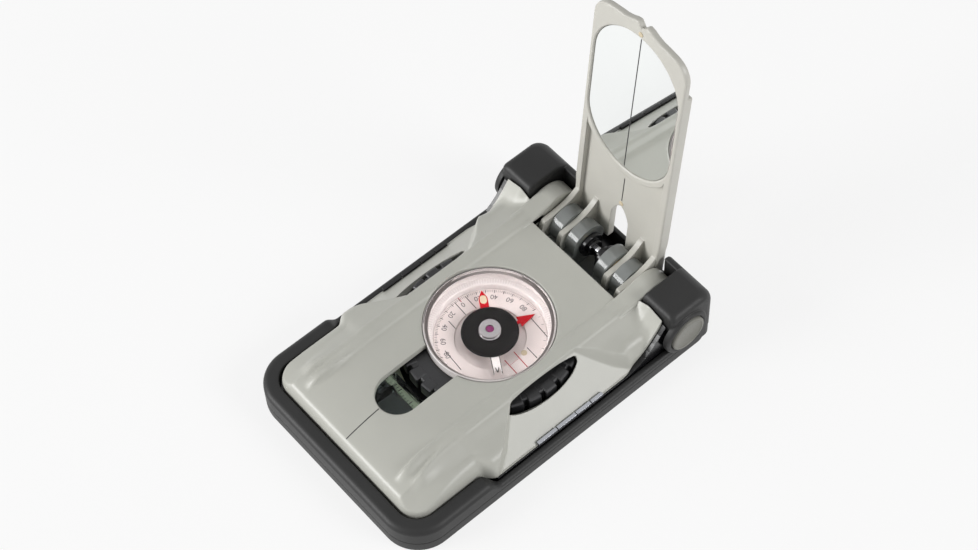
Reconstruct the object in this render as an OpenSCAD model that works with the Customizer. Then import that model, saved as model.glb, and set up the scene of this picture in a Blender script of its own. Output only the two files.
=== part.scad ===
// Mirror compass: an armoured pocket compass with a tilting mirror lid.
// The origin is on the dial axis at the underside, +Y points to the hinge and +Z up.

/* [Lower case] */
// Width of the armoured lower case
case_w = 45; // [44.4:0.1:48]
// Dial axis to the front of the case
case_front = 36.7; // [36:0.1:42]
// Hinge axis to the back of the case
hinge_to_back = 7; // [6.8:0.1:9]
// Corner radius of the case at the front, seen from above
front_corner_r = 7; // [6:0.1:7.5]
// Corner radius of the case at the back, seen from above
back_corner_r = 4.5; // [3.5:0.1:5.5]
// Thickness of the case floor
floor_t = 1.2; // [0.9:0.1:2]
// Thickness of the low side walls
low_wall_t = 1.25; // [1:0.05:1.5]
// Height of the low side walls above the floor
low_wall_rise = 2.9; // [2.4:0.1:3.2]
// Thickness of the tall front wall
front_wall_t = 2.85; // [2:0.05:3.2]
// Height of the tall front wall above the floor
front_wall_rise = 5.4; // [4.6:0.1:5.8]
// Length of the tall wall along each side
front_wall_reach = 17.2; // [14:0.2:17.4]
// Length of the ramp from the tall wall to the low wall
wall_ramp = 2.8; // [1.5:0.1:4]
// Thickness of the wall behind the lid
rear_wall_t = 1; // [0.8:0.05:1.1]
// Height of the wall behind the lid above the floor
rear_wall_rise = 4.5; // [3.5:0.1:4.6]
// Rounding of the armour's upper edges
armour_round = 1.1; // [0.6:0.1:1.2]

/* [Lugs and hinge] */
// Dial axis to the hinge axis
hinge_y = 25.6; // [25.4:0.1:30]
// Height of the hinge axis above the floor
hinge_rise = 6.68; // [6.6:0.02:7]
// Width of each lug
lug_w = 7.7; // [6.8:0.1:8]
// Front of the lug to the hinge axis
lug_front = 3.3; // [2.5:0.1:3.6]
// Top of the lug above the hinge axis
lug_rise = 6.5; // [6.1:0.1:7]
// Rounding of the back of the lug
lug_back_r = 4.5; // [3:0.1:5]
// Rounding of the front of the lug
lug_front_r = 1.4; // [0.8:0.1:2]
// Width of the part of the lug that closes in behind the lid
lug_return_w = 3.4; // [2:0.1:3.6]
// Radius of the hinge axle
axle_r = 0.7; // [0.6:0.05:0.9]
// Running clearance round the axle
axle_gap = 0.06; // [0.03:0.01:0.1]
// Radius of the axle caps
cap_r = 3.62; // [3:0.02:4]
// How far the caps stand out from the side of the case
cap_proud = 0.95; // [0.7:0.05:1.2]
// How deep the caps sit in the lugs
cap_sink = 0.6; // [0.4:0.1:1]
// Width of the raised ring round each cap
cap_ring_w = 1.1; // [0.8:0.1:1.5]
// How far the raised ring stands out
cap_ring_proud = 0.6; // [0.3:0.05:0.7]

/* [Knuckles and ears] */
// Radius of the clear knuckles
knuckle_r = 3.7; // [3.3:0.05:3.9]
// Reach of the knuckles' foot behind the hinge axis
knuckle_foot = 0.8; // [0.4:0.1:1]
// Half width of the gap between the two middle knuckles
knuckle_gap_half = 2.55; // [2.2:0.05:2.8]
// Width of each middle knuckle
knuckle_w = 2.5; // [2.2:0.05:2.6]
// Thickness of the friction washers
washer_t = 0.22; // [0.15:0.01:0.3]
// Radius of the friction washers
washer_r = 2.4; // [1.8:0.1:3]
// Thickness of the lid's ears
ear_t = 1.1; // [0.9:0.05:1.15]
// Side clearance of the ears
ear_side_gap = 0.1; // [0.08:0.01:0.15]
// Radius of the inner ears
ear_r = 4.39; // [4.2:0.05:4.6]
// Radius of the outer ears
outer_ear_r = 5.3; // [4.9:0.05:5.3]
// Radius of the collars on the middle of the axle
collar_r = 2.5; // [1.8:0.1:3]
// Width of the bare axle between the collars
collar_gap = 1.3; // [0.8:0.1:2]

/* [Inner base] */
// Thickness of the inner base plate
base_t = 1; // [0.8:0.05:1.2]
// Thickness of the rim of the inner base
rim_t = 1; // [0.8:0.05:1.2]
// Height of the rim above the inner base plate
rim_rise = 2.3; // [2.1:0.05:2.6]
// Assembly gap between the inner base and the armour
fit_gap = 0.1; // [0.05:0.01:0.2]

/* [Housing] */
// Height of the deck above the inner base plate
deck_rise = 8.93; // [8.85:0.01:9.2]
// Wall thickness of the housing
housing_wall = 1.3; // [1.1:0.05:1.35]
// Step from the rim of the inner base in to the side of the housing
housing_inset = 0.25; // [0.1:0.05:0.4]
// Half distance between the feet of the two ribs
rib_half = 11; // [10.95:0.05:11.2]
// Width of each rib
rib_w = 2.4; // [2:0.1:2.8]
// Height of the ribs above the deck
rib_rise = 0.95; // [0.5:0.05:1.2]
// Fullness of the flanks, where 1 is flat and 2 is round
flank_power = 1.3; // [1.1:0.05:1.5]
// Dial axis to the line where the deck starts to slope down
slope_start = 11; // [8:0.5:14]
// Drop of the deck from that line to the rounded front edge
nose_drop = 2.04; // [1.2:0.02:2.3]
// Depth of the rounded front edge
front_drop = 3.4; // [3:0.1:3.8]
// Length of the rounded front edge
front_roll = 2.4; // [1.8:0.1:3]
// Housing front to the front end of the ribs
rib_start = 3; // [2.5:0.1:5]
// Length over which the ribs rise from the deck
rib_ramp = 9; // [7:0.1:12]
// Hinge axis to the back of the side parts of the housing
housing_back = 3.6; // [3.5:0.1:4.5]
// Hinge axis to the front edge of the hinge recess
recess_front = 6.1; // [5.9:0.1:6.4]
// Side clearance of the lid's outer ears in the recess
recess_gap = 0.3; // [0.25:0.05:0.4]
// Radius of the rounded bosses beside the lid
boss_r = 4.9; // [4.2:0.1:5.2]
// Gap between the bosses and the lugs
boss_gap = 0.3; // [0.2:0.05:0.4]
// Height of the shoulders in front of the lugs, above the deck
shoulder_rise = 0.3; // [0:0.1:0.6]
// Length over which the shoulders rise from the flanks
shoulder_len = 9.6; // [8:0.1:11]

/* [Window and scallops] */
// Half width of the window in the deck
window_half = 4.15; // [3.6:0.05:4.6]
// Edge of the dial's scale to the round end of the window
window_beyond = 5.8; // [5.4:0.1:6.4]
// Clearance of the lens in the window
lens_gap = 0.12; // [0.08:0.01:0.2]
// Depth of the lens below the deck's underside
lens_depth = 4.2; // [3:0.1:4.4]
// Height of the chord of the scallop at its top, below the deck
scallop_top_drop = 0.13; // [0:0.01:0.3]
// Distance from the rib's outer side to the top of the scallop
scallop_top_out = 0.6; // [0.4:0.05:0.8]
// Front of the scallop at its top, in front of the dial axis
scallop_front = 8.2; // [7.8:0.1:9]
// Back of the scallop at its top, behind the dial axis
scallop_back = 7.4; // [7:0.1:9]
// How much longer the scallop gets in front towards its foot
scallop_front_flare = 5.6; // [3:0.1:7]
// How much longer the scallop gets behind towards its foot
scallop_back_flare = 7.4; // [4:0.1:8]
// Half length of the finger slot in the scallop
slot_half_len = 7.5; // [7:0.1:7.8]
// Distance down the scallop from its top to the slot
slot_offset = 0.45; // [0.3:0.05:0.8]
// Width of the finger slot
slot_w = 4.5; // [4:0.1:5]
// How far the finger slot's upper side bends away at its middle
slot_bend = 0.5; // [0.3:0.1:0.8]
// Front end of the side strips, in front of the dial axis
strip_front = 7.4; // [6:0.1:8]
// Gap between the tabs of the side strips
tab_gap = 0.2; // [0.1:0.05:0.4]
// Height of the tabs of the side strips
tab_rise = 0.5; // [0.3:0.05:0.6]

/* [Dial and capsule] */
// Outer radius of the knurled ring
knurl_r = 16.3; // [16:0.05:16.5]
// Height of the knurled ring
knurl_h = 2.8; // [2.4:0.1:3]
// Number of knurl blocks
knurl_count = 30; // [24:1:36]
// Width of the grooves between the blocks
knurl_groove_w = 0.9; // [0.5:0.1:1.2]
// Depth of the grooves between the blocks
knurl_groove_d = 0.8; // [0.4:0.1:1]
// Clearance between the knurled ring and the housing
dial_gap = 0.4; // [0.3:0.05:0.5]
// Clearance between the dial and the inner base
dial_float = 0.2; // [0.15:0.05:0.3]
// Clearance between the dial's scale and the rim of the inner base
scale_side_gap = 1.25; // [1.1:0.05:1.6]
// Width of the scale
scale_w = 2.3; // [1.6:0.1:2.5]
// Thickness of the scale
scale_t = 0.8; // [0.5:0.1:0.9]
// Thickness of the dial's flange
flange_t = 0.8; // [0.6:0.05:1]
// Radius of the capsule
capsule_r = 11.66; // [11.3:0.02:11.9]
// Clearance between the capsule and the edge of the deck
capsule_gap = 0.3; // [0.25:0.05:0.4]
// Thickness of the capsule's wall
capsule_wall = 1; // [0.8:0.05:1.2]
// Thickness of the capsule's floor
capsule_floor_t = 1.8; // [1.5:0.05:2]
// Thickness of the capsule's top
capsule_top_t = 0.9; // [0.7:0.05:1]
// Thickness of the seal under the capsule's top
seal_t = 0.12; // [0.08:0.01:0.2]
// Thickness of the orienting disc
orient_t = 0.7; // [0.5:0.05:0.8]
// Radius of the pivot that the dial turns on
hub_r = 8; // [7.5:0.1:9]
// Running clearance of the dial on its pivot
hub_gap = 0.06; // [0.03:0.01:0.1]
// How far the retainer reaches over the dial's flange
retainer_lap = 0.9; // [0.6:0.1:1.2]
// Thickness of the retainer
retainer_t = 0.4; // [0.3:0.05:0.5]

/* [Needle and clinometer] */
// Direction of the needle's north end, from +X
needle_angle = 149; // [0:1:360]
// Direction of the clinometer pointer, from +X
clinometer_angle = 78; // [0:1:360]
// Direction of the dial's north mark, from +X
dial_angle = -5; // [-180:1:180]
// Length of the needle's north arm
north_len = 8.5; // [7:0.1:9.4]
// Length of the needle's south arm
south_len = 6.9; // [6:0.1:9]
// Width of the needle's arms
arm_w = 1.7; // [1.2:0.1:2]
// Thickness of the needle's arms
arm_t = 0.2; // [0.15:0.01:0.25]
// Radius of the needle's black disc
disc_r = 5.12; // [4.5:0.02:5.6]
// Thickness of the needle's black disc
disc_t = 0.3; // [0.2:0.05:0.4]
// Radius of the silver boss
boss_ring_r = 1.95; // [1.5:0.05:2.3]
// Height of the silver boss
boss_ring_h = 1.2; // [0.9:0.05:1.25]
// Radius of the jewel
jewel_r = 0.75; // [0.6:0.05:1]
// Radius of the magnet
magnet_r = 3.4; // [2.6:0.1:4]
// Thickness of the magnet
magnet_t = 0.7; // [0.5:0.05:0.75]
// Half width of the luminous patch on the north arm
glow_r = 0.55; // [0.4:0.05:0.6]
// Thickness of the luminous patch
glow_t = 0.1; // [0.05:0.01:0.15]
// Radius of the pivot post
post_r = 0.4; // [0.3:0.05:0.5]
// Running clearance round the pivot post
post_gap = 0.06; // [0.03:0.01:0.1]
// Vertical gap between the clinometer pointer and its neighbours
pointer_gap = 0.15; // [0.1:0.01:0.2]
// Thickness of the clinometer pointer
pointer_t = 0.25; // [0.15:0.01:0.3]
// Reach of the clinometer pointer
pointer_len = 9; // [8:0.1:9.6]

/* [Lid and mirror] */
// Angle of the open lid above the deck's direction to the back
lid_angle = 84.72; // [50:0.01:175]
// Width of the lid
lid_w = 21.4; // [21.2:0.05:21.4]
// Hinge axis to the top of the lid
lid_len = 56; // [54:0.1:57]
// Hinge axis to the front face of the lid's flanges
lid_front = 3.43; // [3.4:0.01:3.6]
// Depth of the mirror below the bezel
mirror_sink = 0.3; // [0.2:0.05:0.4]
// Depth of the lower panel below the bezel
panel_sink = 0.95; // [0.8:0.05:1]
// Thickness of the lid over its lower part
lid_t = 2.34; // [2.1:0.02:2.4]
// Thickness of the lid at its thin top
lid_thin_t = 1.3; // [1.2:0.05:1.5]
// Hinge axis to the step where the lid gets thin
lid_step = 47.7; // [44:0.1:50]
// How far the lid reaches past the hinge axis
lid_tail = 1.5; // [1:0.1:1.7]
// Radius of the lid's top corners
lid_corner_r = 4.2; // [3:0.1:5]
// Width of the flanges beside the lower panel
flange_w = 1.3; // [1:0.1:1.5]
// Hinge axis to the centre of the mirror's lower arc
mirror_low_s = 31; // [28:0.1:33]
// Hinge axis to the centre of the mirror's upper arc
mirror_high_s = 44; // [41:0.1:44.2]
// Half width of the mirror opening
mirror_half = 9.8; // [9.2:0.05:9.9]
// Width of the bezel below the mirror
bezel_w = 1.1; // [0.8:0.1:1.5]
// Thickness of the mirror glass
mirror_t = 0.4; // [0.3:0.02:0.45]
// Thickness of the pad behind the mirror
pad_t = 0.1; // [0.06:0.01:0.15]
// Clearance round the mirror glass
mirror_gap = 0.08; // [0.04:0.01:0.12]
// Half width of the sighting window in the lid
sight_half = 2.3; // [2.2:0.05:2.6]
// Hinge axis to the point of the sighting window
sight_top = 9.5; // [8.8:0.1:11]
// Hinge axis to the end of the straight sides of the sighting window
sight_straight = 6.3; // [6:0.1:6.6]
// Half width of the V notch
notch_half = 1; // [0.6:0.1:1.3]
// Depth of the V notch, and height of the peaks beside it
notch_d = 1.2; // [0.8:0.1:1.5]
// Radius of the sighting dots
dot_r = 0.55; // [0.4:0.05:0.6]

/* [Fasteners] */
// Radius of the housing screws
screw_r = 0.7; // [0.5:0.05:0.8]
// Radius of the heads of the housing screws
screw_head_r = 1.4; // [1.2:0.05:1.6]
// Height of the heads of the housing screws
screw_head_t = 0.5; // [0.4:0.05:0.6]
// Length of the housing screws above the inner base
screw_len = 3.4; // [2.8:0.1:3.5]
// Radius of the screw bosses in the housing
screw_boss_r = 1.6; // [1.4:0.05:1.8]
// Clearance round the screws
screw_gap = 0.05; // [0.02:0.01:0.1]
// Radius of the retainer screws
small_screw_r = 0.35; // [0.3:0.05:0.4]
// Radius of the heads of the retainer screws
small_head_r = 0.8; // [0.6:0.05:0.9]

/* [Hidden] */
$fn = 72;
over = 1;
strip_gap = 0.02;

// Plan of the case
half_w = case_w / 2;
case_back = hinge_y + hinge_to_back;
ramp_y = -case_front + front_wall_reach;
step_y = ramp_y + wall_ramp;
low_top = floor_t + low_wall_rise;
front_top = floor_t + front_wall_rise;
rear_top = floor_t + rear_wall_rise;
hinge_z = floor_t + hinge_rise;
lug_in = half_w - lug_w;

// Heights of the inner base and the housing
base_top = floor_t + base_t;
rim_top = base_top + rim_rise;
deck_z = base_top + deck_rise;
roof_z = deck_z - housing_wall;
rib_out = rib_half + rib_w;
rim_in = half_w - low_wall_t - fit_gap - rim_t;
housing_half = half_w - low_wall_t - fit_gap - housing_inset;
housing_nose_y = -case_front + front_wall_t + fit_gap + housing_inset;
roll_y = housing_nose_y + front_roll;
housing_end = hinge_y - housing_back;
shoulder_top = deck_z + shoulder_rise;

// Positions across the hinge
mid_out = knuckle_gap_half + knuckle_w;
ear_in = mid_out + washer_t + ear_side_gap;
ear_out = ear_in + ear_t;
side_in = ear_out + ear_side_gap;
outer_ear_out = rib_half - recess_gap - recess_gap + 0.05;
outer_ear_in = outer_ear_out - ear_t;
side_out = outer_ear_in - ear_side_gap;
recess_half = outer_ear_out + recess_gap;
boss_out = lug_in - boss_gap;

// Lengths of the side strips' tabs, from the front
tab_lengths = [4.3, 4.2, 3.2, 2.6];

// Radius and heights of the dial
scale_r = rim_in - scale_side_gap;
window_reach = scale_r + window_beyond;
flange_z = base_top + dial_float;
scale_z = flange_z + flange_t;
knurl_top = roof_z - dial_gap;
knurl_z = knurl_top - knurl_h;
bowl_z = scale_z + retainer_t + dial_float;
bowl_floor_z = bowl_z + capsule_floor_t;
capsule_top_z = deck_z;
glass_z = capsule_top_z - capsule_top_t;
bowl_rim_z = glass_z - seal_t;
bowl_in_r = capsule_r - capsule_wall;
orient_z = bowl_floor_z + orient_t;

// Heights inside the capsule
pointer_z = orient_z + 2 * pointer_gap;
magnet_z = pointer_z + pointer_t + pointer_gap;
arm_z = magnet_z + magnet_t;
disc_z = arm_z + arm_t;
boss_z = disc_z + disc_t;

// Lid, in its own frame: +Y runs from the hinge axis to the top, -Z to the back
lid_half = lid_w / 2;
lid_back = lid_front + lid_t;
lid_thin_back = lid_front + lid_thin_t;
mirror_face = lid_front + mirror_sink;
panel_face = lid_front + panel_sink;
pad_face = mirror_face + mirror_t;

function arc(cx, cy, r, a0, a1, n = 8) =
    [for (i = [0:n]) let (a = a0 + (a1 - a0) * i / n) [cx + r * cos(a), cy + r * sin(a)]];

// Outline with corners of radius r0 at y0 and r1 at y1
function rounded_box(hw, y0, y1, r0, r1) = concat(
    arc(hw - r1, y1 - r1, r1, 0, 90),
    arc(-hw + r1, y1 - r1, r1, 90, 180),
    arc(-hw + r0, y0 + r0, r0, 180, 270),
    arc(hw - r0, y0 + r0, r0, 270, 360)
);

// Extrudes an outline drawn in (y, z) along x, from x0 to x1
module along_x(x0, x1) {
    translate([x0, 0, 0]) rotate([90, 0, 90]) linear_extrude(x1 - x0) children();
}

// Extrudes an outline drawn in (x, z) along y, from y0 to y1
module along_y(y0, y1) {
    translate([0, y1, 0]) rotate([90, 0, 0]) linear_extrude(y1 - y0) children();
}

// A cylinder along x, from x0 to x1, on the hinge axis
module on_axle(r, x0, x1) {
    translate([x0, hinge_y, hinge_z]) rotate([0, 90, 0]) cylinder(r = r, h = x1 - x0);
}

module both_sides() {
    children();
    mirror([1, 0, 0]) children();
}

// A closed solid through outlines of equally many points, stacked at rising heights
module stack(outlines, heights) {
    n = len(outlines[0]);
    last = len(outlines) - 1;
    polyhedron(
        points = [for (k = [0:last]) for (p = outlines[k]) [p[0], p[1], heights[k]]],
        faces = concat(
            [[for (i = [0:n - 1]) i]],
            [for (k = [1:last]) for (i = [0:n - 1]) let (j = (i + 1) % n)
                [(k - 1) * n + i, k * n + i, k * n + j, (k - 1) * n + j]],
            [[for (i = [n - 1:-1:0]) last * n + i]]
        )
    );
}

// Outline of the case, drawn in by a distance
function case_points(inset) = rounded_box(
    half_w - inset, -case_front + inset, case_back - inset,
    front_corner_r - inset, back_corner_r - inset
);

// The space inside the walls, drawn in by a distance
module inner_outline(inset) {
    narrow = half_w - front_wall_t - inset;
    wide = half_w - low_wall_t - inset;
    back = case_back - rear_wall_t - inset;
    r0 = front_corner_r - front_wall_t - inset;
    r1 = back_corner_r - low_wall_t - inset;
    polygon(rounded_box(narrow, -case_front + front_wall_t + inset, back, r0, r1));
    intersection() {
        polygon(rounded_box(wide, -case_front, back, r0, r1));
        translate([-wide, step_y + inset]) square([2 * wide, back - step_y - inset]);
    }
}

// The case filled from the bottom up to a height
module case_column(top) {
    linear_extrude(top) polygon(case_points(0));
}

// A case-shaped block with rounded upper and lower edges
module armour_block(top) {
    r = armour_round;
    steps = [0:4];
    insets = concat([r / 2, 0], [for (i = steps) r * (1 - cos(90 * i / 4))]);
    heights = concat([0, r / 2], [for (i = steps) top - r + r * sin(90 * i / 4)]);
    stack([for (d = insets) case_points(d)], heights);
}

// Side view of a lug, drawn in by a distance
function lug_points(inset) =
    let (front = hinge_y - lug_front, back = case_back, top = hinge_z + lug_rise)
    concat(
        [[front + inset, floor_t / 2], [back - inset, floor_t / 2]],
        arc(back - lug_back_r, top - lug_back_r, lug_back_r - inset, 0, 90),
        arc(front + lug_front_r, top - lug_front_r, lug_front_r - inset, 90, 180, 4)
    );

module lug() {
    r = armour_round;
    insets = [for (i = [0:4]) r * (1 - cos(90 * i / 4))];
    depths = [for (i = [0:4]) half_w - r + r * sin(90 * i / 4)];
    return_y = hinge_y + boss_r + fit_gap;
    intersection() {
        union() {
            rotate([90, 0, 90])
                stack(concat([lug_points(0)], [for (d = insets) lug_points(d)]), concat([lug_in], depths));
            intersection() {
                along_x(lug_in - lug_return_w, lug_in + over) polygon(lug_points(0));
                translate([0, return_y, 0]) cube([half_w, hinge_to_back, 2 * hinge_z]);
            }
        }
        case_column(3 * hinge_z);
    }
    on_axle(cap_r + cap_ring_w, half_w - cap_sink, half_w + cap_ring_proud);
}

module armour_tray() {
    tall = 4 * hinge_z;
    color([0.13, 0.13, 0.13])
    difference() {
        union() {
            difference() {
                armour_block(front_top);
                along_x(-half_w - over, half_w + over) polygon([
                    [ramp_y, front_top], [step_y, low_top], [case_back + over, low_top],
                    [case_back + over, front_top + over], [ramp_y, front_top + over]
                ]);
            }
            intersection() {
                case_column(rear_top);
                translate([-lug_in, case_back - rear_wall_t - over, 0])
                    cube([2 * lug_in, rear_wall_t + 2 * over, rear_top]);
            }
            both_sides() lug();
        }
        // The space inside the walls, kept clear of the lugs
        difference() {
            translate([0, 0, floor_t]) linear_extrude(tall) inner_outline(0);
            both_sides() translate([lug_in, hinge_y - lug_front, 0]) cube([half_w, case_back, 2 * tall]);
            both_sides() translate([lug_in - lug_return_w, hinge_y + boss_r + fit_gap, 0])
                cube([half_w, case_back, 2 * tall]);
        }
        on_axle(axle_r + axle_gap, -half_w, half_w);
        both_sides() on_axle(cap_r + fit_gap, half_w - cap_sink, half_w + over);
        both_sides() on_axle(2 * axle_r + fit_gap, half_w - 2 * cap_sink, half_w);
    }
}

module screw_places() {
    front = housing_nose_y + 4.6;
    back = housing_end - screw_boss_r - 0.6;
    both_sides() {
        translate([housing_half - housing_wall - 3.6, front, 0]) children();
        translate([housing_half - housing_wall - 2.2, back, 0]) children();
    }
}

module inner_base() {
    color([0.06, 0.06, 0.07])
    difference() {
        union() {
            translate([0, 0, floor_t]) linear_extrude(base_t) base_outline();
            difference() {
                translate([0, 0, floor_t]) linear_extrude(rim_top - floor_t) base_outline();
                translate([0, 0, floor_t]) linear_extrude(rim_top) inner_outline(fit_gap + rim_t);
                translate([-recess_half, hinge_y - recess_front, base_top])
                    cube([2 * recess_half, case_back, rim_top]);
                translate([-half_w, hinge_y - lug_front - fit_gap, base_top])
                    cube([case_w, case_back, rim_top]);
            }
            cylinder(r = hub_r, h = scale_z + dial_float / 2);
            both_sides() along_x(rim_in, rim_in + rim_t) shoulder_side(fit_gap);
        }
        translate([0, 0, -over]) cylinder(r = case_w, h = floor_t + over);
        screw_places() {
            cylinder(r = screw_r + screw_gap, h = rim_top);
            translate([0, 0, floor_t - over])
                cylinder(r = screw_head_r + screw_gap, h = screw_head_t + over);
        }
        small_screw_places()
            translate([0, 0, floor_t]) cylinder(r = small_screw_r + screw_gap, h = scale_z);
    }
}

// The base plate's outline, cut back in front of the lugs
module base_outline() {
    difference() {
        inner_outline(fit_gap);
        both_sides()
            translate([lug_in - fit_gap, hinge_y - lug_front - fit_gap]) square([half_w, case_back]);
        both_sides() translate([lug_in - lug_return_w - fit_gap, hinge_y + boss_r])
            square([half_w, case_back]);
    }
}

// Cross-section of the housing in (x, z), with full flanks
module flank_outline(top) {
    n = 10;
    right = [for (i = [0:n]) let (a = 90 * i / n) [
        rib_out + (housing_half - rib_out) * pow(sin(a), flank_power),
        rim_top + (top - rim_top) * pow(cos(a), flank_power)
    ]];
    left = [for (i = [n:-1:0]) [-right[i][0], right[i][1]]];
    polygon(concat(right, left));
}

// Height of the deck at a place along the case
function deck_at(y) = deck_z - nose_drop * pow(max(0, -slope_start - y) / (-slope_start - roll_y), 3);

// Places from the start of the slope forward to another place
function slope_places(front, n = 10) = [for (i = [0:n]) -slope_start + (front + slope_start) * i / n];

// Side view of the deck in (y, z)
module deck_outline() {
    first = 12;
    polygon(concat(
        [[housing_end, rim_top], [housing_end, deck_z]],
        [for (y = slope_places(roll_y)) [y, deck_at(y)]],
        [for (i = [1:8]) let (a = first + (90 - first) * i / 8) [
            roll_y - front_roll * (sin(a) - sin(first)) / (1 - sin(first)),
            deck_z - nose_drop - front_drop * (cos(first) - cos(a)) / cos(first)
        ]],
        [[housing_nose_y, rim_top]]
    ));
}

// Side view of a rib in (y, z)
module rib_outline() {
    start = housing_nose_y + rib_start;
    polygon(concat(
        [[housing_end, rim_top], [housing_end, deck_z + rib_rise]],
        [for (y = slope_places(start))
            [y, deck_at(y) + rib_rise * sin(90 * min(1, (y - start) / rib_ramp))]],
        [[start, rim_top]]
    ));
}

// Side view of the shoulder in front of a lug, in (y, z), with its top lowered by a distance
module shoulder_side(drop) {
    polygon(concat(
        [[housing_end, base_top], [housing_end - shoulder_len, base_top]],
        [for (i = [0:8]) let (t = i / 8) [
            housing_end - shoulder_len * (1 - t),
            rim_top + (shoulder_top - rim_top) * pow(t, 2.2) - drop
        ]]
    ));
}

// The shoulder's solid in the housing, inside the rim of the inner base
module shoulder() {
    difference() {
        along_x(rib_out, rim_in - strip_gap) shoulder_side(0);
        cube([case_w, case_back, rim_top]);
    }
}

module rib() {
    round_x = rib_rise * 0.7;
    intersection() {
        along_y(-case_front, case_back) polygon([
            [rib_half, rim_top], [rib_half, deck_z], [rib_half + round_x * 0.35, deck_z + rib_rise * 0.75],
            [rib_half + round_x, deck_z + rib_rise], [rib_out - round_x, deck_z + rib_rise],
            [rib_out, deck_z + rib_rise * 0.6], [rib_out + round_x, deck_z - rib_rise * 0.4],
            [rib_out + round_x, rim_top]
        ]);
        along_x(0, half_w) rib_outline();
    }
}

// The frame of the scalloped flank: +Y along the case, +X down the flank, +Z out of it
module on_scallop() {
    top_x = rib_out + scallop_top_out;
    top_z = deck_z - scallop_top_drop;
    slope = atan2(top_z - rim_top, housing_half - top_x);
    translate([top_x, 0, top_z]) rotate([0, slope, 0]) children();
}

module scallop_cut() {
    reach = norm([housing_half - rib_out - scallop_top_out, deck_z - scallop_top_drop - rim_top]) + over;
    on_scallop() linear_extrude(deck_rise) polygon(concat(
        [[0, scallop_back], [0, -scallop_front]],
        [for (t = [0.25:0.25:1]) [reach * t, -scallop_front - scallop_front_flare * t * t]],
        [for (t = [1:-0.25:0.25]) [reach * t, scallop_back + scallop_back_flare * t * t]]
    ));
}

// The finger slot: a lens of two arcs with its ends on the top line
module slot_cut() {
    middle = (scallop_back - scallop_front) / 2;
    deep = 2 * housing_wall;
    on_scallop() translate([slot_offset, middle, -deep]) linear_extrude(deep + over) polygon(concat(
        [for (i = [0:12]) let (t = -1 + i / 6) [slot_w * (1 - t * t), slot_half_len * t]],
        [for (i = [11:-1:1]) let (t = -1 + i / 6) [slot_bend * (t * t - 1), slot_half_len * t]]
    ));
}

module housing_form() {
    intersection() {
        along_y(-case_front, case_back) flank_outline(deck_z);
        along_x(-half_w, half_w) deck_outline();
        translate([0, 0, rim_top]) linear_extrude(deck_z) inner_outline(fit_gap + housing_inset);
    }
}

// The hollow under the deck and the flanks
module housing_hollow() {
    top_x = rib_out + scallop_top_out;
    slope = atan2(deck_z - scallop_top_drop - rim_top, housing_half - top_x);
    in_x = housing_wall / sin(slope);
    foot_x = housing_half - in_x;
    roof_x = top_x - in_x + (deck_z - scallop_top_drop - roof_z) / tan(slope);
    back = housing_end - housing_wall;
    front = housing_nose_y + housing_wall;
    intersection() {
        along_y(front, back) polygon([
            [-foot_x, rim_top - over], [-foot_x, rim_top], [-roof_x, roof_z], [roof_x, roof_z],
            [foot_x, rim_top], [foot_x, rim_top - over]
        ]);
        along_x(-half_w, half_w) polygon(concat(
            [[front, deck_z - nose_drop - front_drop], [front, rim_top - over], [back, rim_top - over]],
            [[back, roof_z]],
            [for (y = slope_places(front + front_roll)) [y, deck_at(y) - housing_wall]]
        ));
        translate([0, 0, rim_top - over]) linear_extrude(deck_z)
            inner_outline(fit_gap + housing_inset + housing_wall);
    }
}

module window_outline(inset) {
    reach = window_reach - window_half;
    translate([0, -reach]) circle(r = window_half - inset);
    translate([-window_half + inset, -reach]) square([2 * (window_half - inset), reach - capsule_r / 2]);
}

// The rounded boss beside the lid, standing on the inner base
module housing_boss() {
    front = hinge_y - recess_front;
    on_axle(boss_r, rib_half, boss_out);
    translate([rib_half, front, base_top])
        cube([boss_out - rib_half, hinge_y + 3 - front, hinge_z - base_top]);
    along_x(rib_half, boss_out) polygon([
        [front, hinge_z - over], [front, deck_z], [housing_end, deck_z + rib_rise * 0.6],
        [hinge_y - boss_r * sin(20), hinge_z + boss_r * cos(20)], [hinge_y, hinge_z]
    ]);
}

// Columns for the screws, from the inner base up into the shell
module screw_bosses() {
    screw_places() translate([0, 0, base_top]) cylinder(r = screw_boss_r, h = rim_rise + 0.1);
    intersection() {
        screw_places() translate([0, 0, rim_top]) cylinder(r = screw_boss_r, h = deck_rise);
        translate([0, 0, -housing_wall / 2]) housing_form();
    }
}

module top_housing() {
    color([0.72, 0.72, 0.69])
    difference() {
        union() {
            difference() {
                union() {
                    housing_form();
                    both_sides() rib();
                    both_sides() shoulder();
                }
                both_sides() scallop_cut();
                both_sides() along_x(rim_in - strip_gap, half_w) shoulder_side(0);
            }
            both_sides() housing_boss();
            screw_bosses();
        }
        difference() {
            housing_hollow();
            screw_bosses();
        }
        both_sides() slot_cut();
        // Room for the dial, its capsule and the lens
        cylinder(r = knurl_r + dial_gap, h = knurl_top + dial_gap * 0.9);
        cylinder(r = scale_r + dial_gap, h = scale_z + scale_t + dial_gap);
        cylinder(r = capsule_r + capsule_gap, h = deck_z + over);
        translate([0, 0, base_top]) linear_extrude(deck_z) window_outline(0);
        // The hinge recess
        translate([-recess_half, hinge_y - recess_front, 0])
            cube([2 * recess_half, case_back, 3 * hinge_z]);
        on_axle(axle_r + axle_gap, -half_w, half_w);
        screw_places() cylinder(r = screw_r + screw_gap, h = base_top + screw_len + screw_gap);
    }
}

module housing_screws() {
    color([0.6, 0.6, 0.62])
    screw_places() {
        translate([0, 0, floor_t]) cylinder(r = screw_head_r, h = screw_head_t);
        translate([0, 0, floor_t + screw_head_t])
            cylinder(r = screw_r, h = base_t - screw_head_t + screw_len);
    }
}

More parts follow.
